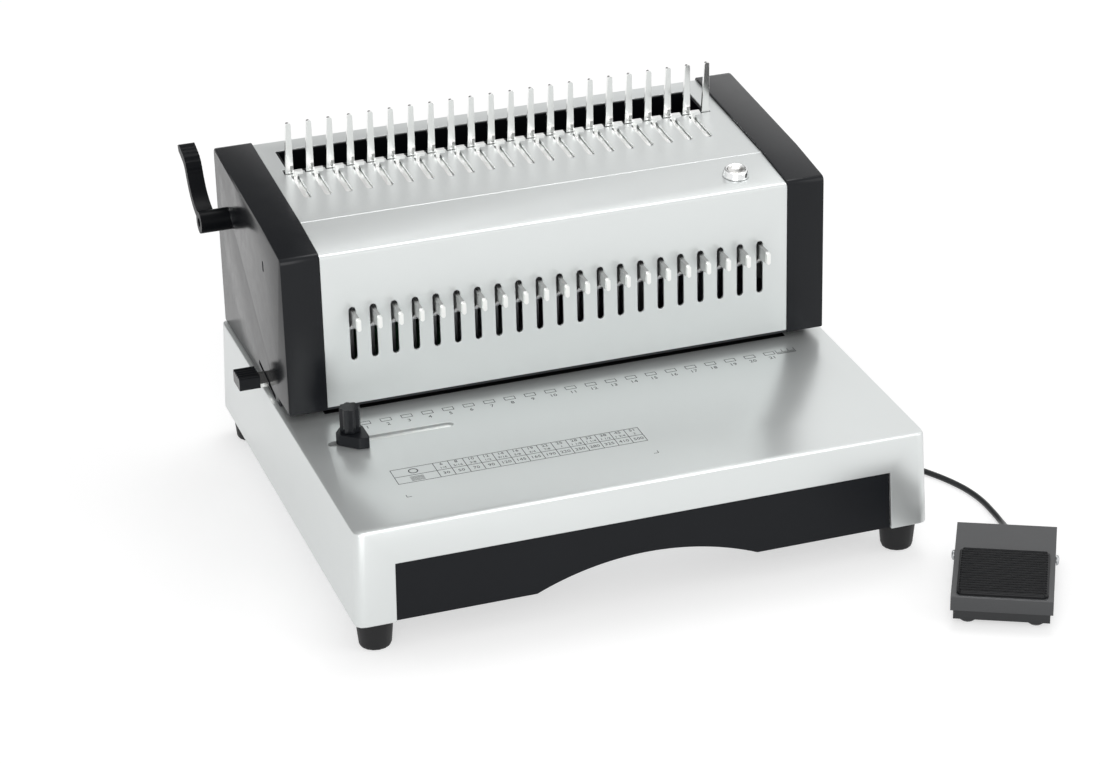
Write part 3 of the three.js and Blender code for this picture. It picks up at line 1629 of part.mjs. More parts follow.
// A cord of round section along a smooth route.
function cordTube(points, steps) {
  const curve = new THREE.CatmullRomCurve3(points, false, "centripetal");
  const section = [];
  for (let side = 0; side < cordSides; side += 1) {
    const turn = ((side + halfShare) * 2 * Math.PI) / cordSides;
    section.push([Math.cos(turn) * cordDiameter / 2, Math.sin(turn) * cordDiameter / 2]);
  }
  console.log("cord stretch, mm:", curve.getLength().toFixed(1));
  return new THREE.ExtrudeGeometry(outline(section), {
    steps,
    bevelEnabled: false,
    extrudePath: curve,
  });
}

const coilOuterRadius = coilInnerRadius + coilSpacing * coilTurnsPerLayer;
const coilPlace = reliefPlace + coilOuterRadius;

// The middle line of the coil: in along the floor, up a layer at the inner turn, and out again.
function coilLine() {
  const turns = coilTurnsPerLayer * 2;
  const points = [];
  for (let step = 0; step <= turns * coilStepsPerTurn; step += 1) {
    const turn = step / coilStepsPerTurn;
    const inward = turn - coilTurnsPerLayer;
    const radius = coilInnerRadius + coilSpacing * Math.abs(inward);
    const angle = Math.PI - turn * 2 * Math.PI;
    const climb = THREE.MathUtils.smoothstep(inward, -coilClimbShare, coilClimbShare);
    points.push(new THREE.Vector3(
      coilPlace + radius * Math.cos(angle),
      coilReach + radius * Math.sin(angle),
      cordDiameter / 2 + climb * coilSpacing,
    ));
  }
  const first = points[0].clone();
  const last = points[points.length - 1].clone();
  first.y -= cordDiameter;
  last.y -= cordDiameter;
  return [first, ...points, last];
}

// Least distance between the skins of two turns of the coil.
function leastCoilGap(points) {
  let least = Infinity;
  const apart = coilStepsPerTurn / 2;
  for (let one = 0; one < points.length; one += 1) {
    for (let other = one + apart; other < points.length; other += 1) {
      least = Math.min(least, points[one].distanceTo(points[other]));
    }
  }
  return least - cordDiameter;
}

// A closed tube round a line of points, whose sections stay upright.
function windingTube(points, sides) {
  const positions = [];
  const faces = [];
  const radius = cordDiameter / 2;
  points.forEach((point, index) => {
    const before = points[Math.max(index - 1, 0)];
    const after = points[Math.min(index + 1, points.length - 1)];
    const tangent = after.clone().sub(before).normalize();
    const across = new THREE.Vector3().crossVectors(tangent, axisZ).normalize();
    const up = new THREE.Vector3().crossVectors(across, tangent);
    for (let side = 0; side < sides; side += 1) {
      const turn = (side * 2 * Math.PI) / sides;
      const skin = point.clone()
        .addScaledVector(across, radius * Math.cos(turn))
        .addScaledVector(up, radius * Math.sin(turn));
      positions.push(skin.x, skin.y, skin.z);
    }
  });
  for (let ring = 0; ring < points.length - 1; ring += 1) {
    for (let side = 0; side < sides; side += 1) {
      const a = ring * sides + side;
      const b = ring * sides + ((side + 1) % sides);
      faces.push(a, a + sides, b + sides, a, b + sides, b);
    }
  }
  const last = (points.length - 1) * sides;
  for (let side = 1; side < sides - 1; side += 1) {
    faces.push(0, side, side + 1, last, last + side + 1, last + side);
  }
  const geometry = new THREE.BufferGeometry();
  geometry.setAttribute("position", new THREE.Float32BufferAttribute(positions, 3));
  geometry.setIndex(faces);
  geometry.computeVertexNormals();
  return geometry;
}

// The points of a run, set off from a place in X and Y.
function runFrom(run, x, y) {
  return run.map((point) => new THREE.Vector3(x + point[0], y + point[1], point[2]));
}

function reliefWallPlace() {
  return baseRear + flareAt(reliefHeight);
}

// Lead from the machine's relief down to the coil.
function leadTube() {
  const start = new THREE.Vector3(reliefPlace, reliefWallPlace() + reliefLength + gap, reliefHeight);
  const end = new THREE.Vector3(reliefPlace, coilReach - cordDiameter - gap, cordDiameter / 2);
  return cordTube([start, ...runFrom(leadRun, reliefPlace, baseRear), end], leadSteps);
}

// Cord from the coil round the machine's right side to the pedal's relief.
function pedalCordTube() {
  const start = new THREE.Vector3(coilPlace + coilOuterRadius, coilReach - cordDiameter - gap,
    cordDiameter / 2 + coilSpacing);
  const yaw = pedalYawDegrees * degree;
  const onPedal = (reach) => new THREE.Vector3(
    pedalPlaceX + reach * Math.sin(yaw),
    reach * Math.cos(yaw) - pedalPlaceY,
    pedalReliefHeight,
  );
  const tip = pedalDepth + pedalReliefLength + gap;
  return cordTube([
    start,
    ...runFrom(rearRun, baseHalfWidth, baseRear),
    ...runFrom(frontRun, pedalPlaceX, -pedalPlaceY),
    onPedal(tip + cordDiameter),
    onPedal(tip),
  ], cordSteps);
}

piece("base_shell", baseShell(), silverPaint);
piece("base_bottom_plate", bottomPlate(), zincPlate);
piece("waste_tray", wasteTray(), blackPlastic);
for (const [row, y] of [["front", -baseFront + footInset], ["rear", baseRear - footRearInset]]) {
  for (const [hand, side] of [["left", -1], ["right", 1]]) {
    piece(`foot_${row}_${hand}`, foot(side * (baseHalfWidth - footInset), y), blackRubber);
  }
}
piece("upper_cover", upperCover(), silverPaint);
piece("end_cap_left", leftCap(), blackPlastic);
piece("end_cap_right", endCap(1), blackPlastic);
piece("rear_panel", rearPanel(), silverPaint);
piece("mechanism_frame", mechanismFrame(), zincPlate);
piece("punch_die_set", punchDieSet(), steel);
piece("punch_ram", punchRam(), steel);
for (let index = 0; index < slotCount; index += 1) {
  piece(`selector_${String(index + 1).padStart(2, "0")}`, selector(index), nickel);
}
piece("cam_shaft", camShaft(), steel);
piece("gear_motor", gearMotor(), motorGrey);
piece("control_board", controlBoard(), boardGreen);
piece("opener_hook_plate", openerHookPlate(), chrome);
piece("comb_finger_plate", combFingerPlate(), chrome);
piece("comb_well", combWell(), blackPlastic);
piece("opener_shaft", openerShaft(), steel);
piece("opener_lever", openerLever(), blackPlastic);
piece("button_bezel", buttonBezel(), chrome);
piece("push_button", pushButton(), nickel);
piece("depth_stop_bar", depthStopBar(), steel);
piece("depth_slider", depthSlider(), blackPlastic);
piece("edge_stop", edgeStop(), blackPlastic);
piece("edge_stop_knob", edgeStopKnob(), blackPlastic);
piece("mains_inlet", mainsInlet(), blackPlastic);
piece("rocker_switch", rockerSwitch(), blackPlastic);

const pedal = new THREE.Group();
pedal.position.set(pedalPlaceX, -pedalPlaceY, 0);
pedal.rotation.z = -pedalYawDegrees * degree;
pedal.add(piece("pedal_base", pedalBase(), greyPaint));
pedal.add(piece("pedal_cover", pedalCover(), greyPaint));
pedal.add(piece("pedal_pad", pedalPad(), blackRubber));
pedal.add(piece("pedal_pivot_pin", pedalPivotPin(), steel));
const pedalRelief = piece("cord_relief_pedal",
  cordRelief(pedalReliefNeck, pedalSheet, pedalReliefLength), blackRubber);
pedalRelief.position.set(0, pedalDepth, pedalReliefHeight);
pedal.add(pedalRelief);
machine.add(pedal);

const machineRelief = piece("cord_relief_machine",
  cordRelief(reliefNeckRadius, baseWall, reliefLength), blackRubber);
machineRelief.position.set(reliefPlace, reliefWallPlace(), reliefHeight);
const coilPoints = coilLine();
console.log("least gap of the coil to itself, mm:", leastCoilGap(coilPoints).toFixed(2));
piece("pedal_cord_lead", leadTube(), blackRubber);
piece("pedal_cord_coil", windingTube(coilPoints, coilSides), blackRubber);
piece("pedal_cord", pedalCordTube(), blackRubber);

// The origin lies under the middle of the machine and the pedal, on the floor. Cords don't count.
const extent = new THREE.Box3();
machine.updateMatrixWorld(true);
machine.traverse((node) => {
  if (node.isMesh && !/cord/.test(node.name)) extent.expandByObject(node, true);
});
const centre = extent.getCenter(new THREE.Vector3());
machine.position.set(-centre.x, -centre.y, -extent.min.z);

export default machine;
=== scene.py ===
# Looks of the electric comb binding machine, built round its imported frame. Metres, +Z up.
# Places are written in millimetres as at(x, y, z): X is zero in the middle of the machine,
# Y is zero at the front face of the punching head and Z is zero on the floor.
import json
import math

import bpy
import bmesh
from mathutils import Matrix, Vector

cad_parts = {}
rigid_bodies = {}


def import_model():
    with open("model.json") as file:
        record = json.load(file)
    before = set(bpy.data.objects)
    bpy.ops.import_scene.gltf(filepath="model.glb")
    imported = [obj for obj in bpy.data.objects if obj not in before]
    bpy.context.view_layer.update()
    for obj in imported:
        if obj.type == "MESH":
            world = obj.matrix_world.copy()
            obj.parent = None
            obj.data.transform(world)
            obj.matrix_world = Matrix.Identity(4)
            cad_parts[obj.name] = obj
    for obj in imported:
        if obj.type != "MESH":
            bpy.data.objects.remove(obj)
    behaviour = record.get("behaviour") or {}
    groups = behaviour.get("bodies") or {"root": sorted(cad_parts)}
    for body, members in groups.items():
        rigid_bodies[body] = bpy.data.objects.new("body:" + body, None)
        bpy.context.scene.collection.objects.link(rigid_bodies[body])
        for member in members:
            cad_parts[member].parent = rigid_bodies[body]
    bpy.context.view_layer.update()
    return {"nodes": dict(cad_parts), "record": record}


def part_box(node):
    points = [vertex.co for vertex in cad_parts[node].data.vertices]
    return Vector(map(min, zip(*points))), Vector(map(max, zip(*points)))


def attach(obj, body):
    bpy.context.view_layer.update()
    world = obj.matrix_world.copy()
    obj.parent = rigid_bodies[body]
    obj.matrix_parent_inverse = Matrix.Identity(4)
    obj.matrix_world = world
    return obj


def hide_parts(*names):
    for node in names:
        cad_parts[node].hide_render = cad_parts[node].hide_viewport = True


for thing in list(bpy.data.objects):
    bpy.data.objects.remove(thing)
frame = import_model()

MM = 0.001
TABLE = 86.0            # height of the table top
BASE_REACH = 167.5      # from the head's front face to the foot of the base in front of it
PITCH = 14.2875         # spacing of the slots
SLOTS = 21

base_low, base_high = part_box("base_shell")
ORIGIN = Vector(((base_low.x + base_high.x) / 2, base_low.y + BASE_REACH * MM, 0))


def at(x, y, z):
    """A point of the machine, in millimetres, as a point of the row frame, in metres."""
    return ORIGIN + Vector((x, y, z)) * MM


# Camera

CAMERA_PLACE = (-658.3, -1977.5, 1010.8 + TABLE)
CAMERA_ANGLES = (-18.19, -25.95, -1.52)        # yaw, pitch and roll, in degrees
CAMERA_SENSOR = 36
CAMERA_LENS = 112.77
CAMERA_NEAR, CAMERA_FAR = 0.1, 60


def aim_camera():
    data = bpy.data.cameras.new("view")
    camera = bpy.data.objects.new("view", data)
    bpy.context.scene.collection.objects.link(camera)
    yaw, pitch, roll = (math.radians(angle) for angle in CAMERA_ANGLES)
    ahead = Vector((
        -math.sin(yaw) * math.cos(pitch),
        math.cos(yaw) * math.cos(pitch),
        math.sin(pitch),
    ))
    level = Vector((math.cos(yaw), math.sin(yaw), 0))
    upright = level.cross(ahead)
    right = level * math.cos(roll) + upright * math.sin(roll)
    up = upright * math.cos(roll) - level * math.sin(roll)
    facing = Matrix((right, up, -ahead)).transposed()
    camera.matrix_world = Matrix.Translation(at(*CAMERA_PLACE)) @ facing.to_4x4()
    data.sensor_width = CAMERA_SENSOR
    data.lens = CAMERA_LENS
    data.clip_start = CAMERA_NEAR
    data.clip_end = CAMERA_FAR
    bpy.context.scene.camera = camera


aim_camera()

# Foot pedal's place, and the cord's line from the machine over its coil to the pedal

PEDAL_CORNER = (195.66, -276.3)        # middle of the pedal's front
PEDAL_YAW = math.radians(27.5)
PEDAL_ENTRY_HEIGHT = 9.5
PEDAL_ENTRY = (108.3, 103.5)           # the cord's last points, along the pedal

CORD = 4.0                     # diameter
CORD_ROUNDNESS = 4
LEAD_RUN = [
    (120, 198.98, 31), (120, 206, 31), (120, 215, 29), (120, 226, 20), (120, 237, 9.5),
    (120, 248, 3), (120, 256, 2.05), (120, 263.7, 2),
]
LEAD_STEP = 1.5
CORD_RUN = [
    (184.25, 263.7, 6.46), (184.2, 257, 6.3), (185.2, 245, 5), (188, 232, 2.9),
    (193.5, 216, 2.05), (200.5, 198, 2), (205.5, 175, 2), (207.5, 145, 2), (207, 110, 2),
    (205.8, 75, 2), (205.5, 40, 2), (207, 5, 2), (214, -25, 2), (227, -50, 2),
    (239.3, -70.3, 2), (246.8, -85, 2), (252.7, -101.6, 2), (255.7, -119.4, 2),
    (255.8, -137, 2), (254.8, -152, 2.2), (252.6, -163, 4.4), (249.3, -173.2, 8.2),
]
CORD_STEP = 3
COIL_CENTRE = (152.125, 268)
COIL_INNER = 15.4
COIL_SPACING = 4.46
COIL_TURNS = 3.75              # in each of two layers
COIL_CLIMB = 0.25
COIL_STEPS = 48                # in each turn


def curve_through(points, step_length):
    """Even points on a smooth centripetal curve through the given ones."""
    first = 2 * Vector(points[0]) - Vector(points[1])
    last = 2 * Vector(points[-1]) - Vector(points[-2])
    knots = [first, *map(Vector, points), last]
    made = []
    for p0, p1, p2, p3 in zip(knots, knots[1:], knots[2:], knots[3:]):
        t1 = (p1 - p0).length ** 0.5
        t2 = t1 + (p2 - p1).length ** 0.5
        t3 = t2 + (p3 - p2).length ** 0.5
        steps = max(2, round((p2 - p1).length / step_length))
        for step in range(steps):
            t = t1 + (t2 - t1) * step / steps
            a1 = p0 * ((t1 - t) / t1) + p1 * (t / t1)
            a2 = p1 * ((t2 - t) / (t2 - t1)) + p2 * ((t - t1) / (t2 - t1))
            a3 = p2 * ((t3 - t) / (t3 - t2)) + p3 * ((t - t2) / (t3 - t2))
            b1 = a1 * ((t2 - t) / t2) + a2 * (t / t2)
            b2 = a2 * ((t3 - t) / (t3 - t1)) + a3 * ((t - t1) / (t3 - t1))
            made.append(b1 * ((t2 - t) / (t2 - t1)) + b2 * ((t - t1) / (t2 - t1)))
    made.append(Vector(points[-1]))
    return made


def coil_points():
    """The coil's line: in along one layer, up at the inner turn, and out along the next."""
    total = 2 * COIL_TURNS
    count = round(total * COIL_STEPS)
    made = []
    for index in range(count + 1):
        turns = total * index / count
        radius = COIL_INNER + COIL_SPACING * abs(turns - COIL_TURNS)
        share = min(1, max(0, (turns - COIL_TURNS) / (2 * COIL_CLIMB) + 0.5))
        rise = share * share * (3 - 2 * share)
        angle = math.pi - 2 * math.pi * turns
        made.append(Vector((
            COIL_CENTRE[0] + radius * math.cos(angle),
            COIL_CENTRE[1] + radius * math.sin(angle),
            CORD / 2 + COIL_SPACING * rise,
        )))
    return made


def on_pedal(across, along, height):
    """A point of the pedal, from the middle of its front, in the machine's millimetres."""
    return (
        PEDAL_CORNER[0] + across * math.cos(PEDAL_YAW) + along * math.sin(PEDAL_YAW),
        PEDAL_CORNER[1] - across * math.sin(PEDAL_YAW) + along * math.cos(PEDAL_YAW),
        height,
    )


def cord_line():
    """The cord's whole middle line, from the relief on the machine to the relief on the pedal."""
    lead = curve_through(LEAD_RUN, LEAD_STEP)
    entry = [on_pedal(0, along, PEDAL_ENTRY_HEIGHT) for along in PEDAL_ENTRY]
    run = curve_through([*CORD_RUN, *entry], CORD_STEP)
    return [at(x, y, max(z, CORD / 2)) for x, y, z in [*lead, *coil_points(), *run]]


def make_cord():
    """The sheath as a tube, and the line that it follows."""
    points = cord_line()
    data = bpy.data.curves.new("pedal_cord_sheath", "CURVE")
    data.dimensions = "3D"
    spline = data.splines.new("POLY")
    spline.points.add(len(points) - 1)
    for target, point in zip(spline.points, points):
        target.co = (*point, 1)
    data.bevel_depth = CORD / 2 * MM
    data.bevel_resolution = CORD_ROUNDNESS
    data.use_fill_caps = True
    curve = bpy.data.objects.new("cord_curve", data)
    cord = bpy.data.objects.new("pedal_cord_sheath", bpy.data.meshes.new_from_object(curve))
    bpy.data.objects.remove(curve)
    cord.data.polygons.foreach_set("use_smooth", [True] * len(cord.data.polygons))
    bpy.context.scene.collection.objects.link(cord)
    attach(cord, "base")
    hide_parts("pedal_cord_lead", "pedal_cord_coil", "pedal_cord")
    return cord, points


# Stage and light

LIT = math.pi ** 2      # power that lights a surface 1 m off as brightly as its colour is written
FLOOR_SIZE = 14
LAMP_TARGET = (0, 0, 0.1)
LAMPS = (               # name, place, size and share of a surface's written colour that it lights
    ("key", (-1.2, -2.8, 1.25), 2.2, 0.41),
    ("top", (0.7, 0.95, 2.8), 1.3, 0.23),
    ("fill", (2.4, -1.6, 1.2), 2.0, 0.20),
)
PATCH_TOWARD = (-0.14, 0.797, 0.588)
PATCH_EDGE = 0.84       # cosines of the angles from the middle of the dark patch
PATCH_MIDDLE = 0.96


def arithmetic(tree, operation, *values):
    """A Math node over numbers and sockets."""
    node = tree.nodes.new("ShaderNodeMath")
    node.operation = operation
    for socket, value in zip(node.inputs, values):
        if isinstance(value, bpy.types.NodeSocket):
            tree.links.new(value, socket)
        else:
            socket.default_value = value
    return node.outputs[0]


def light_path_share(tree):
    """1 for rays that show a thing direct, in gloss or through glass, and 0 for the rest."""
    path = tree.nodes.new("ShaderNodeLightPath")
    seen = path.outputs["Is Camera Ray"]
    for name in ("Is Glossy Ray", "Is Transmission Ray"):
        seen = arithmetic(tree, "MAXIMUM", seen, path.outputs[name])
    return seen


def scaled(tree, value, low, high):
    """A value from 0 to 1, brought to a range."""
    ranged = tree.nodes.new("ShaderNodeMapRange")
    ranged.inputs["To Min"].default_value = low
    ranged.inputs["To Max"].default_value = high
    tree.links.new(value, ranged.inputs["Value"])
    return ranged.outputs["Result"]


def make_world(seen, lighting, dark):
    """White all round. In gloss it has one soft dark patch, as of a studio's unlit rear wall."""
    world = bpy.data.worlds.new("studio")
    bpy.context.scene.world = world
    world.use_nodes = True
    tree = world.node_tree
    tree.nodes.clear()
    place = tree.nodes.new("ShaderNodeTexCoord")
    closeness = tree.nodes.new("ShaderNodeVectorMath")
    closeness.operation = "DOT_PRODUCT"
    closeness.inputs[1].default_value = Vector(PATCH_TOWARD).normalized()
    tree.links.new(place.outputs["Generated"], closeness.inputs[0])
    patch = tree.nodes.new("ShaderNodeMapRange")
    patch.interpolation_type = "SMOOTHSTEP"
    for name, value in (("From Min", PATCH_EDGE), ("From Max", PATCH_MIDDLE), ("To Min", 0),
                        ("To Max", dark - 1)):
        patch.inputs[name].default_value = value
    tree.links.new(closeness.outputs["Value"], patch.inputs["Value"])
    path = tree.nodes.new("ShaderNodeLightPath")
    gloss = arithmetic(tree, "MULTIPLY_ADD", path.outputs["Is Glossy Ray"],
                       patch.outputs["Result"], 1)
    plain = scaled(tree, light_path_share(tree), lighting, seen)
    background = tree.nodes.new("ShaderNodeBackground")
    background.inputs["Color"].default_value = (1, 1, 1, 1)
    tree.links.new(arithmetic(tree, "MULTIPLY", plain, gloss), background.inputs["Strength"])
    output = tree.nodes.new("ShaderNodeOutputWorld")
    tree.links.new(background.outputs[0], output.inputs["Surface"])


def make_floor(paleness, glow):
    """A plain floor that keeps the shadow, with a glow that only makes it look white."""
    bpy.ops.mesh.primitive_plane_add(size=FLOOR_SIZE, location=(0, 0, 0))
    floor = bpy.context.object
    floor.name = "floor"
    material = bpy.data.materials.new("floor")
    material.use_nodes = True
    tree = material.node_tree
    tree.nodes.clear()
    diffuse = tree.nodes.new("ShaderNodeBsdfDiffuse")
    diffuse.inputs["Color"].default_value = (paleness, paleness, paleness, 1)
    emission = tree.nodes.new("ShaderNodeEmission")
    tree.links.new(scaled(tree, light_path_share(tree), 0, glow), emission.inputs["Strength"])
    both = tree.nodes.new("ShaderNodeAddShader")
    tree.links.new(diffuse.outputs[0], both.inputs[0])
    tree.links.new(emission.outputs[0], both.inputs[1])
    output = tree.nodes.new("ShaderNodeOutputMaterial")
    tree.links.new(both.outputs[0], output.inputs["Surface"])
    floor.data.materials.append(material)


def lamp(name, place, size, share):
    """A square soft box, turned to the object."""
    data = bpy.data.lights.new(name, "AREA")
    data.shape = "SQUARE"
    data.size = size
    away = Vector(LAMP_TARGET) - Vector(place)
    data.energy = share * LIT * away.length_squared
    made = bpy.data.objects.new(name, data)
    bpy.context.scene.collection.objects.link(made)
    made.location = place
    made.rotation_mode = "QUATERNION"
    made.rotation_quaternion = away.to_track_quat("-Z", "Y")


make_world(seen=1.0, lighting=0.56, dark=0.22)
make_floor(paleness=0.55, glow=0.55)
for row in LAMPS:
    lamp(*row)
bpy.context.scene.view_settings.view_transform = "Standard"


# Materials

NOISE_DETAIL = {"tint": 4, "roughness": 5, "grain": 3}
ROUGHNESS_SCALE = 3     # how much finer the clouds of roughness are than those of colour
EDGE_SAMPLES = 4


class Surface:
    """A procedural material: noise gives its colour, roughness and grain, edges are rounded."""

    def __init__(self, name, color, rough, metallic=0.0, cloud=30, spread=0.05,
                 rough_spread=0.06, grain=1800, grain_depth=0.01, stretch=(1, 1, 1), edge=0.3,
                 specular=0.5):
        self.material = bpy.data.materials.new(name)
        self.material.use_nodes = True
        self.material.diffuse_color = (*color, 1)
        self.tree = self.material.node_tree
        self.tree.nodes.clear()
        shader = self.tree.nodes.new("ShaderNodeBsdfPrincipled")
        shader.inputs["Metallic"].default_value = metallic
        shader.inputs["Specular IOR Level"].default_value = specular
        output = self.tree.nodes.new("ShaderNodeOutputMaterial")
        self.tree.links.new(shader.outputs[0], output.inputs["Surface"])

        place = self.tree.nodes.new("ShaderNodeTexCoord")
        mapping = self.tree.nodes.new("ShaderNodeMapping")
        mapping.inputs["Scale"].default_value = stretch
        self.tree.links.new(place.outputs["Object"], mapping.inputs["Vector"])
        self.vector = mapping.outputs["Vector"]

        dark = [c * (1 - spread) for c in color]
        light = [min(1, c * (1 + spread)) for c in color]
        tint = self.mixed(self.noise(cloud, NOISE_DETAIL["tint"]), dark, light)
        self.tree.links.new(tint, shader.inputs["Base Color"])
        clouds = self.noise(cloud * ROUGHNESS_SCALE, NOISE_DETAIL["roughness"])
        roughness = scaled(self.tree, clouds, rough - rough_spread, rough + rough_spread)
        self.tree.links.new(roughness, shader.inputs["Roughness"])

        bump = self.tree.nodes.new("ShaderNodeBump")
        bump.inputs["Strength"].default_value = 1
        bump.inputs["Distance"].default_value = grain_depth * MM
        self.tree.links.new(self.noise(grain, NOISE_DETAIL["grain"]), bump.inputs["Height"])
        if edge:
            rounded = self.tree.nodes.new("ShaderNodeBevel")
            rounded.samples = EDGE_SAMPLES
            rounded.inputs["Radius"].default_value = edge * MM
            self.tree.links.new(rounded.outputs[0], bump.inputs["Normal"])
        self.tree.links.new(bump.outputs[0], shader.inputs["Normal"])

    def noise(self, scale, detail):
        made = self.tree.nodes.new("ShaderNodeTexNoise")
        made.inputs["Scale"].default_value = scale
        made.inputs["Detail"].default_value = detail
        self.tree.links.new(self.vector, made.inputs["Vector"])
        return made.outputs["Fac"]

    def mixed(self, share, first, second):
        """One colour or socket blended into another."""
        mix = self.tree.nodes.new("ShaderNodeMix")
        mix.data_type = "RGBA"
        self.tree.links.new(share, mix.inputs["Factor"])
        for socket, value in ((mix.inputs[6], first), (mix.inputs[7], second)):
            if isinstance(value, bpy.types.NodeSocket):
                self.tree.links.new(value, socket)
            else:
                socket.default_value = (*value, 1)
        return mix.outputs[2]


MATERIALS = {
    "silver_paint": Surface("silver_paint", (0.71, 0.735, 0.73), 0.30, metallic=0.66, cloud=14,
                            spread=0.02, rough_spread=0.02, grain=1400, grain_depth=0.0006,
                            edge=0.6),
    "zinc_plate": Surface("zinc_plate", (0.55, 0.57, 0.58), 0.4, metallic=1, cloud=60,
                          spread=0.14),
    "black_plastic": Surface("black_plastic", (0.0095, 0.0105, 0.0125), 0.22, cloud=40,
                             spread=0.15, rough_spread=0.05, grain=2600, grain_depth=0.003,
                             edge=0.45, specular=0.2),
    "guide_plastic": Surface("guide_plastic", (0.007, 0.008, 0.010), 0.34, cloud=50,
                             spread=0.15, grain=2600, grain_depth=0.008, edge=0.35,
                             specular=0.2),
    "tray_plastic": Surface("tray_plastic", (0.007, 0.008, 0.010), 0.38, spread=0.15,
                            grain=1600, grain_depth=0.012, specular=0.17),
    "rubber": Surface("rubber", (0.010, 0.010, 0.011), 0.55, cloud=60, spread=0.2, grain=1400,
                      grain_depth=0.03, edge=0.6, specular=0.3),
    "pad_rubber": Surface("pad_rubber", (0.004, 0.0045, 0.0055), 0.34, cloud=80, spread=0.2,
                          grain=1700, edge=0, specular=0.2),
    "cord_sheath": Surface("cord_sheath", (0.012, 0.013, 0.014), 0.36, cloud=90, spread=0.15,
                           grain=1500, edge=0, specular=0.35),
    "chrome": Surface("chrome", (0.86, 0.87, 0.87), 0.09, metallic=1, cloud=60, spread=0.02,
                      rough_spread=0.03, grain=500, grain_depth=0.001, edge=0.35),
    "nickel": Surface("nickel", (0.72, 0.715, 0.70), 0.22, metallic=1, cloud=120, spread=0.06,
                      rough_spread=0.05, stretch=(1, 0.12, 1), grain=3200, grain_depth=0.004),
    "steel": Surface("steel", (0.42, 0.43, 0.44), 0.34, metallic=1, cloud=90, spread=0.12,
                     stretch=(0.15, 1, 1), grain=2600, grain_depth=0.006),
    "motor_paint": Surface("motor_paint", (0.14, 0.145, 0.15), 0.42, metallic=0.3, spread=0.1),
    "board": Surface("board", (0.02, 0.12, 0.055), 0.4, cloud=90, spread=0.3, grain=800,
                     grain_depth=0.03),
    "pedal_paint": Surface("pedal_paint", (0.013, 0.014, 0.0155), 0.38, cloud=50, spread=0.1,
                           grain=2400, grain_depth=0.004, edge=0.5),
}
INK = Surface("print_ink", (0.03, 0.033, 0.036), 0.5, cloud=300, spread=0.25, grain=4000,
              grain_depth=0.001, edge=0)
WHITE_INK = Surface("white_ink", (0.72, 0.73, 0.72), 0.5, cloud=300, spread=0.08, grain=4000,
                    grain_depth=0.001, edge=0)
HOOK_METAL = Surface("hook_metal", (0.93, 0.93, 0.92), 0.34, metallic=1, cloud=120,
                     spread=0.02, grain=2400, grain_depth=0.002, edge=0.35)
FINGER_METAL = Surface("finger_metal", (0.95, 0.95, 0.94), 0.17, metallic=1, cloud=60,
                       spread=0.02, rough_spread=0.04, grain=1200, grain_depth=0.001)
SELECTOR_METAL = Surface("selector_metal", (0.42, 0.42, 0.415), 0.34, metallic=1, cloud=160,
                         spread=0.06, stretch=(1, 0.12, 1), grain=3200, grain_depth=0.003)
MATT_BLACK = Surface("matt_black", (0.003, 0.0035, 0.0045), 0.34, cloud=50, spread=0.15,
                     grain=2200, grain_depth=0.006, edge=0.4, specular=0.07)
COVER_PAINT = Surface("pedal_cover_paint", (0.045, 0.0465, 0.049), 0.38, cloud=50, spread=0.1,
                      grain=2400, grain_depth=0.004, edge=0.5, specular=0.55)
# The punch and die set is painted near black: painted shade for the dark inside of the head, seen
# through its slots and under it.
DIE_SET_SHADE = Surface("die_set_painted_shade", (0.05, 0.052, 0.055), 0.4, metallic=1, cloud=90, spread=0.15,
                    grain=2600, grain_depth=0.004)
BRASS = Surface("contact_brass", (0.72, 0.56, 0.30), 0.22, metallic=1, cloud=200, spread=0.08,
                grain=3000, grain_depth=0.003, edge=0.2)
OWN_SURFACES = {        # nodes that don't take the material of their slot
    "punch_die_set": DIE_SET_SHADE,
    "opener_hook_plate": HOOK_METAL,
    "comb_finger_plate": FINGER_METAL,
    "opener_lever": MATT_BLACK,
    "comb_well": MATT_BLACK,
    "pedal_cover": COVER_PAINT,
}
# colour of the painted highlight on each selector's rounded head
HEAD_HIGHLIGHT_COLOR = (0.95, 0.95, 0.93)
HEAD_FRONT, HEAD_REAR = -13.9, -13.2   # where the painted highlight on a selector's rounded head fades out, along Y
SHARP_ANGLE = math.radians(34)
WELD = 2e-6                            # metres


def paint_head_highlights(surface, color, front, rear):
    """Painted highlight on each selector's rounded head: a lighter colour in front of a place
    along Y.
    """
    tree = surface.tree
    shader = next(node for node in tree.nodes if node.type == "BSDF_PRINCIPLED")
    tint = shader.inputs["Base Color"].links[0].from_socket
    place = tree.nodes.new("ShaderNodeTexCoord")
    axes = tree.nodes.new("ShaderNodeSeparateXYZ")
    tree.links.new(place.outputs["Object"], axes.inputs[0])
    share = tree.nodes.new("ShaderNodeMapRange")
    share.inputs["From Min"].default_value = at(0, front, 0).y
    share.inputs["From Max"].default_value = at(0, rear, 0).y
    tree.links.new(axes.outputs["Y"], share.inputs["Value"])
    both = surface.mixed(share.outputs["Result"], color, tint)
    tree.links.new(both, shader.inputs["Base Color"])


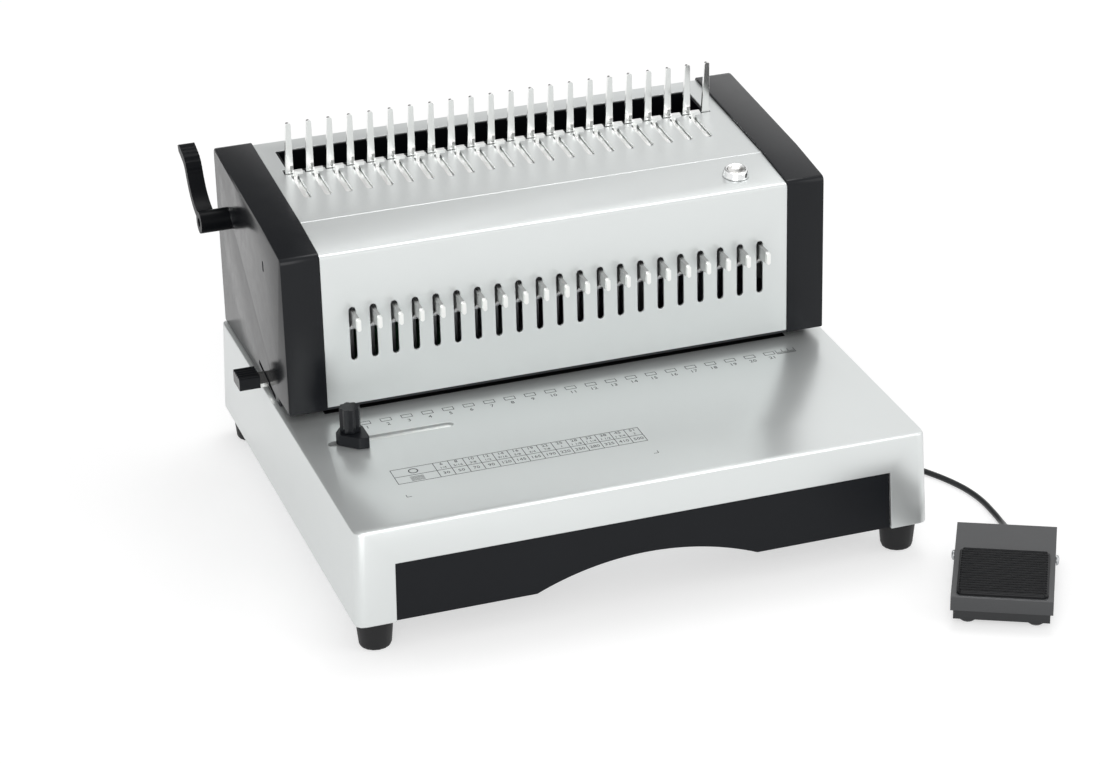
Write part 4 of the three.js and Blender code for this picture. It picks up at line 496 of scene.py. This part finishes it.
def shading_group():
    """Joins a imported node's loose triangles and shades it smooth, save at its real edges."""
    group = bpy.data.node_groups.new("shade_by_angle", "GeometryNodeTree")
    for way in ("INPUT", "OUTPUT"):
        group.interface.new_socket("Geometry", in_out=way, socket_type="NodeSocketGeometry")
    entry = group.nodes.new("NodeGroupInput")
    leave = group.nodes.new("NodeGroupOutput")
    plain = group.nodes.new("GeometryNodeRemoveAttribute")
    plain.inputs["Name"].default_value = "custom_normal"
    merge = group.nodes.new("GeometryNodeMergeByDistance")
    merge.inputs["Distance"].default_value = WELD
    smooth = group.nodes.new("GeometryNodeSetShadeSmooth")
    angle = group.nodes.new("GeometryNodeInputMeshEdgeAngle")
    sharp = group.nodes.new("FunctionNodeCompare")
    sharp.operation = "GREATER_THAN"
    sharp.inputs["B"].default_value = SHARP_ANGLE
    crease = group.nodes.new("GeometryNodeSetShadeSmooth")
    crease.domain = "EDGE"
    crease.inputs["Shade Smooth"].default_value = False
    links = group.links
    links.new(entry.outputs[0], plain.inputs["Geometry"])
    links.new(plain.outputs[0], merge.inputs["Geometry"])
    links.new(merge.outputs[0], smooth.inputs["Geometry"])
    links.new(smooth.outputs[0], crease.inputs["Geometry"])
    links.new(angle.outputs["Unsigned Angle"], sharp.inputs["A"])
    links.new(sharp.outputs["Result"], crease.inputs["Selection"])
    links.new(crease.outputs[0], leave.inputs[0])
    return group


def dress_frame():
    """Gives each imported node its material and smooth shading."""
    shading = shading_group()
    for part in frame["record"]["subparts"]:
        node = frame["nodes"][part["node"]]
        surface = OWN_SURFACES.get(part["node"], MATERIALS[part["material_slot"]])
        if part["node"].startswith("selector"):
            surface = SELECTOR_METAL
        node.material_slots[0].link = "OBJECT"
        node.material_slots[0].material = surface.material
        modifier = node.modifiers.new("shade_by_angle", "NODES")
        modifier.node_group = shading


# The selectors get a painted highlight: a lighter colour on their heads.
paint_head_highlights(SELECTOR_METAL, HEAD_HIGHLIGHT_COLOR, HEAD_FRONT, HEAD_REAR)
dress_frame()
cord, cord_points = make_cord()


# Shapes, in the machine's millimetres

class Shape:
    """Closed bodies in the making. Place is where their own axes stand in the machine."""

    def __init__(self, place=Matrix()):
        self.mesh = bmesh.new()
        self.place = place

    def skin(self, rings, loop=False):
        """Faces from each ring of points to the next, and over both ends unless they loop."""
        rings = [[self.mesh.verts.new(self.place @ Vector(p)) for p in points]
                 for points in rings]
        pairs = list(zip(rings, rings[1:]))
        if loop:
            pairs.append((rings[-1], rings[0]))
        else:
            self.mesh.faces.new(rings[0][::-1])
            self.mesh.faces.new(rings[-1])
        for low, high in pairs:
            for index in range(len(low)):
                other = (index + 1) % len(low)
                self.mesh.faces.new((low[index], low[other], high[other], high[index]))

    def prism(self, outline, low, high):
        self.skin([[(x, y, z) for x, y in outline] for z in (low, high)])

    def border(self, outer, inner, low, high):
        """A prism over the room between two outlines of equally many points."""
        walls = ((outer, low), (outer, high), (inner, high), (inner, low))
        self.skin([[(x, y, z) for x, y in outline] for outline, z in walls], loop=True)

    def turned(self, profile, steps, loop=False):
        """A body turned round Z from points of radius and height."""
        angles = [2 * math.pi * step / steps for step in range(steps)]
        self.skin([[(r * math.cos(a), r * math.sin(a), z) for a in angles]
                   for r, z in profile], loop)

    def add(self, mesh, place=Matrix()):
        """Another mesh, set at a place in this shape's axes."""
        before = len(self.mesh.verts)
        self.mesh.from_mesh(mesh)
        self.mesh.verts.ensure_lookup_table()
        for vert in self.mesh.verts[before:]:
            vert.co = self.place @ place @ vert.co

    def finished(self):
        """The shape as a mesh."""
        bmesh.ops.recalc_face_normals(self.mesh, faces=self.mesh.faces)
        data = bpy.data.meshes.new("shape")
        self.mesh.to_mesh(data)
        self.mesh.free()
        return data


def place_piece(name, body, slot, surface, shape, *nodes):
    """Makes a shape a piece of the object, in the row frame, in place of the nodes named."""
    data = shape.finished()
    data.name = name
    for vert in data.vertices:
        vert.co = at(*vert.co)
    data.polygons.foreach_set("use_smooth", [True] * len(data.polygons))
    data.set_sharp_from_angle(angle=SHARP_ANGLE)
    data.materials.append(surface.material)
    piece = bpy.data.objects.new(name, data)
    bpy.context.scene.collection.objects.link(piece)
    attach(piece, body)
    if nodes:
        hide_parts(*nodes)
    return piece


def rectangle(x0, x1, y0, y1, radius=0, steps=4):
    """A rectangle's outline, with round corners where a radius is given."""
    if not radius:
        return [(x0, y0), (x1, y0), (x1, y1), (x0, y1)]
    points = []
    for x, y, start in ((x1, y1, 0), (x0, y1, 1), (x0, y0, 2), (x1, y0, 3)):
        middle_x = x + (radius if x == x0 else -radius)
        middle_y = y + (radius if y == y0 else -radius)
        for step in range(steps + 1):
            angle = math.pi / 2 * (start + step / steps)
            points.append((middle_x + radius * math.cos(angle),
                           middle_y + radius * math.sin(angle)))
    return points


def moved(x, y, z):
    return Matrix.Translation((x, y, z))


def turn(degrees, axis):
    return Matrix.Rotation(math.radians(degrees), 4, axis)


# Print on the table top: plain marks and numbers

INK_LOW = TABLE - 0.05
INK_TOP = TABLE + 0.06
LINE = 0.45                    # width of a printed line
DIGIT_SHARE = 0.71             # height of a digit in Blender's own font, as a share of its size
DIGIT_WELD = 0.001
DIGIT_ROUNDNESS = 2
MARK_STEPS = 32                # sides of a small printed ring
MARK_HALF = 3.8
MARK_FRONT = -19.8
MARK_REAR = -15.3
NUMBER_REACH = -24.3
NUMBER_HEIGHT = 3.7
RULER = (148, 161.5, -20.7, -14.4)             # left, right, front and rear
RULER_TICKS = 13
LONG_TICK = 4                  # each fourth tick is a long one
CHART = (-147.2, 21.3, -109.4, -89.0)          # left, right, front and rear
CHART_FIRST = -118.9           # left side of the first column of numbers
CHART_ROW = -100.0             # line between the two rows
CHART_TEXTS = ((-91.9, 3.2), (-97.0, 2.5), (-104.6, 3.3))      # place along Y, and height
SIZES = ("6", "8", "10", "12", "14", "16", "19", "22", "25", "28", "32", "38", "45", "51")
INCHES = ("1/4", "5/16", "3/8", "1/2", "9/16", "5/8", "3/4", "7/8", "1", "1 1/8", "1 1/4",
          "1 1/2", "1 3/4", "2")
SHEETS = ("30", "50", "70", "90", "120", "145", "165", "190", "220", "250", "280", "325",
          "410", "500")
COMB_RADII = (3.3, 2.5)        # of the ring that stands for a comb
SHEET_LINES = 5                # the lines that stand for sheets
SHEET_SPACING = 1.3
SHEET_HALF = (4.5, 0.2)        # half the length and half the width of each
BRACKETS = ((-147.1, -127.9, 1), (21.8, -128.3, -1))           # corner, and way along X
BRACKET = 3.3                  # length of a bracket's two lines


def line(shape, x0, x1, y0, y1):
    shape.prism(rectangle(x0, x1, y0, y1), INK_LOW, INK_TOP)


def frame_line(shape, x0, x1, y0, y1):
    """A printed frame of four lines."""
    shape.border(rectangle(x0, x1, y0, y1),
                 rectangle(x0 + LINE, x1 - LINE, y0 + LINE, y1 - LINE), INK_LOW, INK_TOP)


def write(shape, text, x, y, height):
    """A plain number, as thin closed bodies on the table top."""
    data = bpy.data.curves.new("number", "FONT")
    data.body = text
    data.size = height / DIGIT_SHARE
    data.align_x = "CENTER"
    data.align_y = "CENTER"
    data.resolution_u = DIGIT_ROUNDNESS
    data.extrude = (INK_TOP - INK_LOW) / 2
    holder = bpy.data.objects.new("number", data)
    mesh = bpy.data.meshes.new_from_object(holder)
    shape.add(mesh, moved(x, y, (INK_TOP + INK_LOW) / 2))
    bpy.data.objects.remove(holder)


def place_print(name, shape):
    place_piece(name, "base", "silver_paint", INK, shape)


def place_numbers(name, shape):
    bmesh.ops.remove_doubles(shape.mesh, verts=shape.mesh.verts, dist=DIGIT_WELD)
    place_print(name, shape)


def slot_x(index):
    """The middle of a slot, counted from 0 at the left."""
    return (index - (SLOTS - 1) / 2) * PITCH


def print_marks():
    """An open mark and a number in front of each slot, and a short ruler at the right end."""
    marks = Shape()
    numbers = Shape()
    for index in range(SLOTS):
        x = slot_x(index)
        frame_line(marks, x - MARK_HALF, x + MARK_HALF, MARK_FRONT, MARK_REAR)
        write(numbers, str(index + 1), x, NUMBER_REACH, NUMBER_HEIGHT)
    left, right, front, rear = RULER
    line(marks, left, right, front, front + LINE)
    for tick in range(RULER_TICKS):
        x = left + (right - left - LINE) * tick / (RULER_TICKS - 1)
        top = rear if tick % LONG_TICK == 0 else (front + rear) / 2
        line(marks, x, x + LINE, front + LINE, top)
    place_print("table_marks", marks)
    place_numbers("table_numbers", numbers)


def print_chart():
    """The chart of comb sizes, in millimetres and inches, over the sheets that each holds."""
    left, right, front, rear = CHART
    cells = len(SIZES)
    wide = (right - CHART_FIRST) / cells
    lines = Shape()
    frame_line(lines, left, right, front, rear)
    line(lines, left + LINE, right - LINE, CHART_ROW, CHART_ROW + LINE)
    for cell in range(cells):
        x = CHART_FIRST + wide * cell
        line(lines, x, x + LINE, front + LINE, CHART_ROW)
        line(lines, x, x + LINE, CHART_ROW + LINE, rear - LINE)
    for x, y, way in BRACKETS:
        line(lines, min(x, x + way * BRACKET), max(x, x + way * BRACKET), y, y + LINE)
        line(lines, min(x, x + way * LINE), max(x, x + way * LINE), y + LINE, y + BRACKET)
    middle = (left + CHART_FIRST) / 2
    upper = (CHART_ROW + rear) / 2
    lower = (CHART_ROW + front) / 2
    comb = Shape(moved(middle, upper, 0))
    outer, inner = COMB_RADII
    comb.turned([(outer, INK_LOW), (outer, INK_TOP), (inner, INK_TOP), (inner, INK_LOW)],
                MARK_STEPS, loop=True)
    lines.add(comb.finished())
    long, thin = SHEET_HALF
    for sheet in range(SHEET_LINES):
        y = lower + (sheet - (SHEET_LINES - 1) / 2) * SHEET_SPACING
        line(lines, middle - long, middle + long, y - thin, y + thin)
    place_print("chart_lines", lines)
    numbers = Shape()
    for cell, texts in enumerate(zip(SIZES, INCHES, SHEETS)):
        x = CHART_FIRST + wide * (cell + 0.5) + LINE / 2
        for text, (y, height) in zip(texts, CHART_TEXTS):
            write(numbers, text, x, y, height)
    place_numbers("chart_numbers", numbers)


print_marks()
print_chart()

# Cover trim, button and its ring

FRONT_TOP = TABLE + 114.7              # upper edge of the cover's front
CREASE = (47, TABLE + 120.3)           # where the cover's two sloping bands meet
COVER_EDGE = 162.9                     # half the cover's length
FRONT_SLOPE = math.degrees(math.atan2(5.6, 47))
BEAD_HALF, BEAD_SUNK = 0.9, 0.5        # foot of the bead, inside the cover
BEAD_ROUND = (0.7, 0.3)                # half width and height of its round top
BEAD_DROP = 0.06
BEAD_STEPS = 6
BUTTON_X, BUTTON_REACH = 134.3, 22     # middle of the button on the front sloping band
BUTTON_STEPS = 72
RING_PROFILE = [
    (6.2, -11), (7, -11), (7, 0.3), (9.1, 0.3), (9.1, 0.9), (9.0, 1.2), (8.6, 2.3), (8.2, 3.6),
    (7.95, 4.3), (7.7, 4.75), (7.3, 4.95), (6.8, 5), (6.4, 4.85), (6.2, 4.5),
]
CAP_PROFILE = [
    (5.9, -6.5), (5.9, 4.0), (5.8, 4.3), (5.55, 4.45), (5.25, 4.45), (4.9, 4.25), (4.2, 3.85),
    (3.2, 3.55), (2.1, 3.38), (1.0, 3.3), (0.3, 3.29),
]


def crease_bead():
    """The fine raised line where the two sloping bands of the cover meet."""
    y, z = CREASE
    half, rise = BEAD_ROUND
    profile = [(y - BEAD_HALF, z - BEAD_SUNK)]
    for step in range(BEAD_STEPS + 1):
        angle = math.pi * step / BEAD_STEPS
        profile.append((y - half * math.cos(angle), z - BEAD_DROP + rise * math.sin(angle)))
    profile.append((y + BEAD_HALF, z - BEAD_SUNK))
    bead = Shape()
    bead.skin([[(x, *point) for point in profile] for x in (-COVER_EDGE, COVER_EDGE)])
    place_piece("crease_bead", "base", "silver_paint", MATERIALS["silver_paint"], bead)


def button_and_ring():
    """The satin cap of the push button, hollow on top, in its polished ring."""
    height = FRONT_TOP + BUTTON_REACH * math.tan(math.radians(FRONT_SLOPE))
    seat = moved(BUTTON_X, BUTTON_REACH, height) @ turn(FRONT_SLOPE, "X")
    ring = Shape(seat)
    ring.turned(RING_PROFILE, BUTTON_STEPS, loop=True)
    place_piece("button_ring", "base", "chrome", MATERIALS["chrome"], ring, "button_bezel")
    button = Shape(seat)
    button.turned(CAP_PROFILE, BUTTON_STEPS)
    place_piece("button_cap", "button", "nickel", MATERIALS["nickel"], button, "push_button")


crease_bead()
button_and_ring()

# Screws

HEAD_PROFILE = ((0.97, 0), (1, 0.15), (0.98, 0.42), (0.88, 0.7), (0.66, 0.9), (0.3, 1))
RECESS_ARM, RECESS_HALF = 0.6, 0.15            # shares of the head's radius
RECESS_FLOOR, RECESS_ABOVE = 0.4, 1.5          # shares of its height
HEAD_STEPS = 28
PANEL_REAR = 172.8
CAP_REAR = 173.6
SCREW_SUNK = 0.1
SMALL_SCREW = (2.7, 1.5)                       # radius and height of the head
SCREW_ROWS = (                                 # wall, places across, heights over the table
    (PANEL_REAR, (-154, -60, 60, 154), (9, 104)),
    (CAP_REAR, (-176.5, 176.5), (16, 112)),
)


def screw_head(radius, height):
    """A domed screw head with a cross recess, along +Z from its foot."""
    head = Shape()
    head.turned([(radius * wide, height * high) for wide, high in HEAD_PROFILE], HEAD_STEPS)
    arm, half = radius * RECESS_ARM, radius * RECESS_HALF
    cross = Shape()
    cross.prism([
        (half, half), (half, arm), (-half, arm), (-half, half), (-arm, half), (-arm, -half),
        (-half, -half), (-half, -arm), (half, -arm), (half, -half), (arm, -half), (arm, half),
    ], height * RECESS_FLOOR, height * RECESS_ABOVE)
    things = []
    for mesh in (head.finished(), cross.finished()):
        thing = bpy.data.objects.new("solid", mesh)
        bpy.context.scene.collection.objects.link(thing)
        things.append(thing)
    recess = things[0].modifiers.new("recess", "BOOLEAN")
    recess.object = things[1]
    recess.solver = "EXACT"
    graph = bpy.context.evaluated_depsgraph_get()
    made = bpy.data.meshes.new_from_object(things[0].evaluated_get(graph))
    for thing in things:
        bpy.data.objects.remove(thing)
    return made


def rear_screws():
    """The screws of the rear panel and the end caps, each turned another way."""
    small = screw_head(*SMALL_SCREW)
    screws = Shape()
    for wall, places, heights in SCREW_ROWS:
        for x in places:
            for height in heights:
                z = TABLE + height
                screws.add(small, moved(x, wall - SCREW_SUNK, z) @ turn(-90, "X")
                           @ turn(x + z, "Z"))
    place_piece("rear_screws", "base", "steel", MATERIALS["steel"], screws)


rear_screws()

# Mains inlet and rocker switch

INLET_X = -120.0
INLET_Z = TABLE + 44
INLET_FACE = 175.6
PIN_MIDDLE, PIN_SPACING = -11, 7               # from the inlet's middle
PIN_DROP, MIDDLE_PIN_RISE = 0.3, 3
BLADE_RINGS = ((159.4, 0.12), (171.9, 0.12), (172.9, -0.45))   # place along Y, and spare room
BLADE_HALF = (1, 2)
ROCKER_X = INLET_X + 14.5
ROCKER_TIP = -4                                # degrees
ROCKER_HALF, ROCKER_RISE = 9.5, 1.2            # each half rises to its end
ROCKER_MIDDLE = 1.4                            # how far the middle stands out
SYMBOL_PLACE = 5                               # of each symbol, from the middle
SYMBOL_SUNK, SYMBOL_PROUD = -0.2, 0.06
BAR = rectangle(-0.4, 0.4, -2, 2, 0.35)
RING_RADII = (2, 1.3)


def inlet_contacts():
    """Metal blades over the inlet's three pins."""
    blades = Shape()
    for place in (-1, 0, 1):
        x = INLET_X + PIN_MIDDLE + place * PIN_SPACING
        z = INLET_Z - PIN_DROP + (MIDDLE_PIN_RISE if place == 0 else 0)
        rings = []
        for y, spare in BLADE_RINGS:
            wide, tall = (half + spare for half in BLADE_HALF)
            rings.append([(x - wide, y, z - tall), (x + wide, y, z - tall),
                          (x + wide, y, z + tall), (x - wide, y, z + tall)])
        blades.skin(rings)
    place_piece("inlet_contacts", "base", "steel", BRASS, blades)


def rocker_marks():
    """A bar and a ring on the rocker's two halves, for on and off."""
    marks = Shape()
    face = moved(ROCKER_X, INLET_FACE, INLET_Z) @ turn(ROCKER_TIP, "X")
    lean = math.degrees(math.atan2(ROCKER_RISE, ROCKER_HALF))
    proud = ROCKER_MIDDLE + SYMBOL_PLACE / ROCKER_HALF * ROCKER_RISE
    upright = Matrix(((-1, 0, 0), (0, 0, 1), (0, 1, 0))).to_4x4()
    outer, inner = RING_RADII
    for side in (1, -1):
        mark = Shape(face @ moved(0, proud, SYMBOL_PLACE * side) @ turn(-lean * side, "X")
                     @ upright)
        if side > 0:
            mark.prism(BAR, SYMBOL_SUNK, SYMBOL_PROUD)
        else:
            mark.turned([(outer, SYMBOL_SUNK), (outer, SYMBOL_PROUD), (inner, SYMBOL_PROUD),
                         (inner, SYMBOL_SUNK)], MARK_STEPS, loop=True)
        marks.add(mark.finished())
    place_piece("rocker_marks", "rocker", "black_plastic", WHITE_INK, marks)


inlet_contacts()
rocker_marks()

# Depth slider's metal arm

SIDEWAYS = Matrix(((0, 0, 1), (1, 0, 0), (0, 1, 0))).to_4x4()  # local X, Y and Z to Y, Z and X
ARM_MIDDLE = (56.5, TABLE + 7.3)
ARM_SLOPE = 0.193
ARM_OUTER = (49.9, 63.1, 1.42)                 # front, rear and half height
ARM_INNER = (50.1, 62.9, 1.25)
ARM_ENDS = (-196.05, -189.85)


def sloping_outline(front, rear, half):
    """An outline along the arm's slope, in Y and Z."""
    low, high = (ARM_MIDDLE[1] + (y - ARM_MIDDLE[0]) * ARM_SLOPE for y in (front, rear))
    return [(front, low - half), (rear, high - half), (rear, high + half), (front, low + half)]


def slider_arm():
    """The bright metal of the arm between the slider's grip and the left cap."""
    arm = Shape(SIDEWAYS)
    arm.border(sloping_outline(*ARM_OUTER), sloping_outline(*ARM_INNER), *ARM_ENDS)
    place_piece("slider_arm_plate", "slider", "steel", MATERIALS["nickel"], arm)


slider_arm()

# Track of the edge guide: a narrow floor in its slot, slit along its middle for the knob's stem

TRACK_LEFT, TRACK_RIGHT = -174.3, -88.6
TRACK_REACH = -39.5
TRACK_HALF = 3.65
TRACK_SLIT = 1.5
TRACK_LOW, TRACK_HIGH = TABLE - 3.5, TABLE - 3.1
TRACK_STEPS = 8
END_FLAT = 0.01                        # keeps the points of a round end apart


def track_outline(half):
    inset = TRACK_HALF - half
    return rectangle(TRACK_LEFT + inset, TRACK_RIGHT - inset, TRACK_REACH - half,
                     TRACK_REACH + half, half - END_FLAT, TRACK_STEPS)


def guide_track():
    track = Shape()
    track.border(track_outline(TRACK_HALF), track_outline(TRACK_SLIT), TRACK_LOW, TRACK_HIGH)
    place_piece("guide_track", "base", "zinc_plate", HOOK_METAL, track)


guide_track()

# Foot pedal

PEDAL = moved(*PEDAL_CORNER, 0) @ turn(-math.degrees(PEDAL_YAW), "Z")
PEDAL_TOP = 20.8                       # height of the cover at its front
PEDAL_RISE, PEDAL_LENGTH = 2.6, 94
PAD_HALF = 28.8
PAD_FRONT = 2.0
PAD_DEPTH = 56.0
PAD_CORNER = 3.5
PAD_SEAT = 0.3                         # height of the pad's foot over the cover
PAD_RINGS = ((0, 0), (0, 1.1), (0.25, 1.5), (0.6, 1.6))        # inset and height
PAD_RIBS = 19
PAD_STEPS = 6                          # in each round corner
RIB_FOOT, RIB_BASE = 1.3, 1.6
RIB_HALF, RIB_RISE = 0.95, 1.1
RIB_MARGIN = 1.1
RIB_STEPS = 6
RIB_ENDS = ((0, 0.2), (0.2, 0.6), (0.7, 0.9), (1.4, 1))        # inset, share of the rib's size
PIVOT_REACH = 64.5
PIVOT_HEIGHT = 15.0
PIN_RADIUS = 2
PIN_STEPS = 24
PIN_HALF = 32.55
PIN_SPARE = 0.3                        # how far the pin goes into each head
PIVOT_SCREW = (3.4, 2)                 # radius and height of the head
PIVOT_TURNS = (20, 65)                 # how the two recesses are turned


def ribbed_pad():
    """A rubber pad with a row of round-ended ribs across it."""
    lean = turn(math.degrees(math.atan2(PEDAL_RISE, PEDAL_LENGTH)), "X")
    foot = PEDAL_TOP + PEDAL_RISE * PAD_FRONT / PEDAL_LENGTH + PAD_SEAT
    pad = Shape(PEDAL @ moved(0, PAD_FRONT, foot) @ lean)
    rings = []
    for inset, z in PAD_RINGS:
        outline = rectangle(-PAD_HALF + inset, PAD_HALF - inset, inset, PAD_DEPTH - inset,
                            PAD_CORNER - inset, PAD_STEPS)
        rings.append([(x, y, z) for x, y in outline])
    pad.skin(rings)
    pitch = PAD_DEPTH / PAD_RIBS
    for rib in range(PAD_RIBS):
        y = pitch * (rib + 0.5)
        near = max(0.0, PAD_CORNER - min(y, PAD_DEPTH - y))
        inset = PAD_CORNER - math.sqrt(PAD_CORNER ** 2 - near ** 2)
        reach = PAD_HALF - RIB_MARGIN - inset
        ends = [(-reach + inward, share) for inward, share in RIB_ENDS]
        ends += [(reach - inward, share) for inward, share in reversed(RIB_ENDS)]
        rings = []
        for x, share in ends:
            half, rise = RIB_HALF * share, RIB_RISE * share
            arc = [(x, y - half, RIB_FOOT)]
            for step in range(RIB_STEPS + 1):
                angle = math.pi * step / RIB_STEPS
                arc.append((x, y - half * math.cos(angle), RIB_BASE + rise * math.sin(angle)))
            arc.append((x, y + half, RIB_FOOT))
            rings.append(arc)
        pad.skin(rings)
    place_piece("pedal_ribbed_pad", "pedal_tread", "pad_rubber", MATERIALS["pad_rubber"], pad,
                "pedal_pad")


def pivot_screws():
    """The pedal's pivot pin, with a cross-recessed screw head at each end."""
    pin = Shape(PEDAL @ moved(0, PIVOT_REACH, PIVOT_HEIGHT) @ turn(90, "Y"))
    half = PIN_HALF + PIN_SPARE
    pin.turned([(PIN_RADIUS, -half), (PIN_RADIUS, half)], PIN_STEPS)
    head = screw_head(*PIVOT_SCREW)
    pin.add(head, moved(0, 0, PIN_HALF) @ turn(PIVOT_TURNS[0], "Z"))
    pin.add(head, moved(0, 0, -PIN_HALF) @ turn(180, "X") @ turn(PIVOT_TURNS[1], "Z"))
    place_piece("pedal_pivot_screws", "base", "steel", MATERIALS["steel"], pin,
                "pedal_pivot_pin")


ribbed_pad()
pivot_screws()

# Cord, with its tie and its reliefs

MACHINE_EXIT = (120, 176.68, 31)
PEDAL_EXIT = (0, 92, PEDAL_ENTRY_HEIGHT)       # along the pedal
COLLAR_PROFILE = ((4, 0.6), (6.7, 0.6), (7, 0.9), (7, 2.2), (6.7, 2.6))
COLLAR_TOP = 2.6
TAPER_BASE, TAPER_STEP, TAPER_TIP = 5, 0.3, 3.0
TAPER_START, TAPER_SPARE = 3.2, 4.2            # where the grooves begin, and length without any
GROOVE_PITCH = 3
GROOVE_PROFILE = ((0.05, 0), (0.5, 0), (0.58, 0.7), (0.92, 0.7), (1.0, 0))     # share, depth
TIP_PROFILE = ((0, 0.5), (0.3, 0.1), (0.6, 0))                 # inset, and distance from the end
RELIEF_STEPS = 32
TIE_OUTER = (12.4, 31.4, 0.02, 9.1, 1.6)       # sides of the strap's outline, and its corners
TIE_INNER = (12.9, 30.9, 0.5, 8.6, 1.2)
TIE_HALF = 3.2
CLASP = (18, 25.5, 9.0, 9.9, 0.3)
CLASP_HALF = 3.5


def relief(name, node, seat, share, foot, length):
    """A tapered strain relief with grooves round it, along +Z from the wall's face."""
    base = TAPER_BASE * share
    shape = Shape(seat)
    profile = [(COLLAR_PROFILE[0][0] * share, -foot)]
    profile += [(radius * share, height) for radius, height in COLLAR_PROFILE]
    profile.append((base + TAPER_STEP, COLLAR_TOP))
    grooves = round((length - TAPER_SPARE) / GROOVE_PITCH)
    step = (length - TAPER_SPARE) / grooves
    for groove in range(grooves):
        for part, depth in GROOVE_PROFILE:
            height = TAPER_START + (groove + part) * step
            taper = (height - COLLAR_TOP) / (length - COLLAR_TOP)
            profile.append((base + (TAPER_TIP - base) * taper - depth * share, height))
    profile += [(TAPER_TIP - inset, length - spare) for inset, spare in TIP_PROFILE]
    shape.turned(profile, RELIEF_STEPS)
    return place_piece(name, "base", "rubber", MATERIALS["rubber"], shape, node)


def coil_tie():
    """A flat strap round all the turns of the coil, on its near side."""
    across = Matrix(((0, 0, -1), (-1, 0, 0), (0, 1, 0))).to_4x4()
    tie = Shape(moved(*COIL_CENTRE, 0) @ across)
    tie.border(rectangle(*TIE_OUTER), rectangle(*TIE_INNER), -TIE_HALF, TIE_HALF)
    tie.prism(rectangle(*CLASP), -CLASP_HALF, CLASP_HALF)
    return place_piece("cord_tie", "base", "rubber", MATERIALS["rubber"], tie)


machine_relief = relief("machine_cord_relief", "cord_relief_machine",
                        moved(*MACHINE_EXIT) @ turn(-90, "X"), share=1, foot=3, length=22)
pedal_relief = relief("pedal_cord_relief", "cord_relief_pedal",
                      PEDAL @ moved(*PEDAL_EXIT) @ turn(-90, "X"), share=0.8, foot=2.1,
                      length=12)
tie = coil_tie()

cord.data.materials.append(MATERIALS["cord_sheath"].material)

bpy.context.view_layer.update()
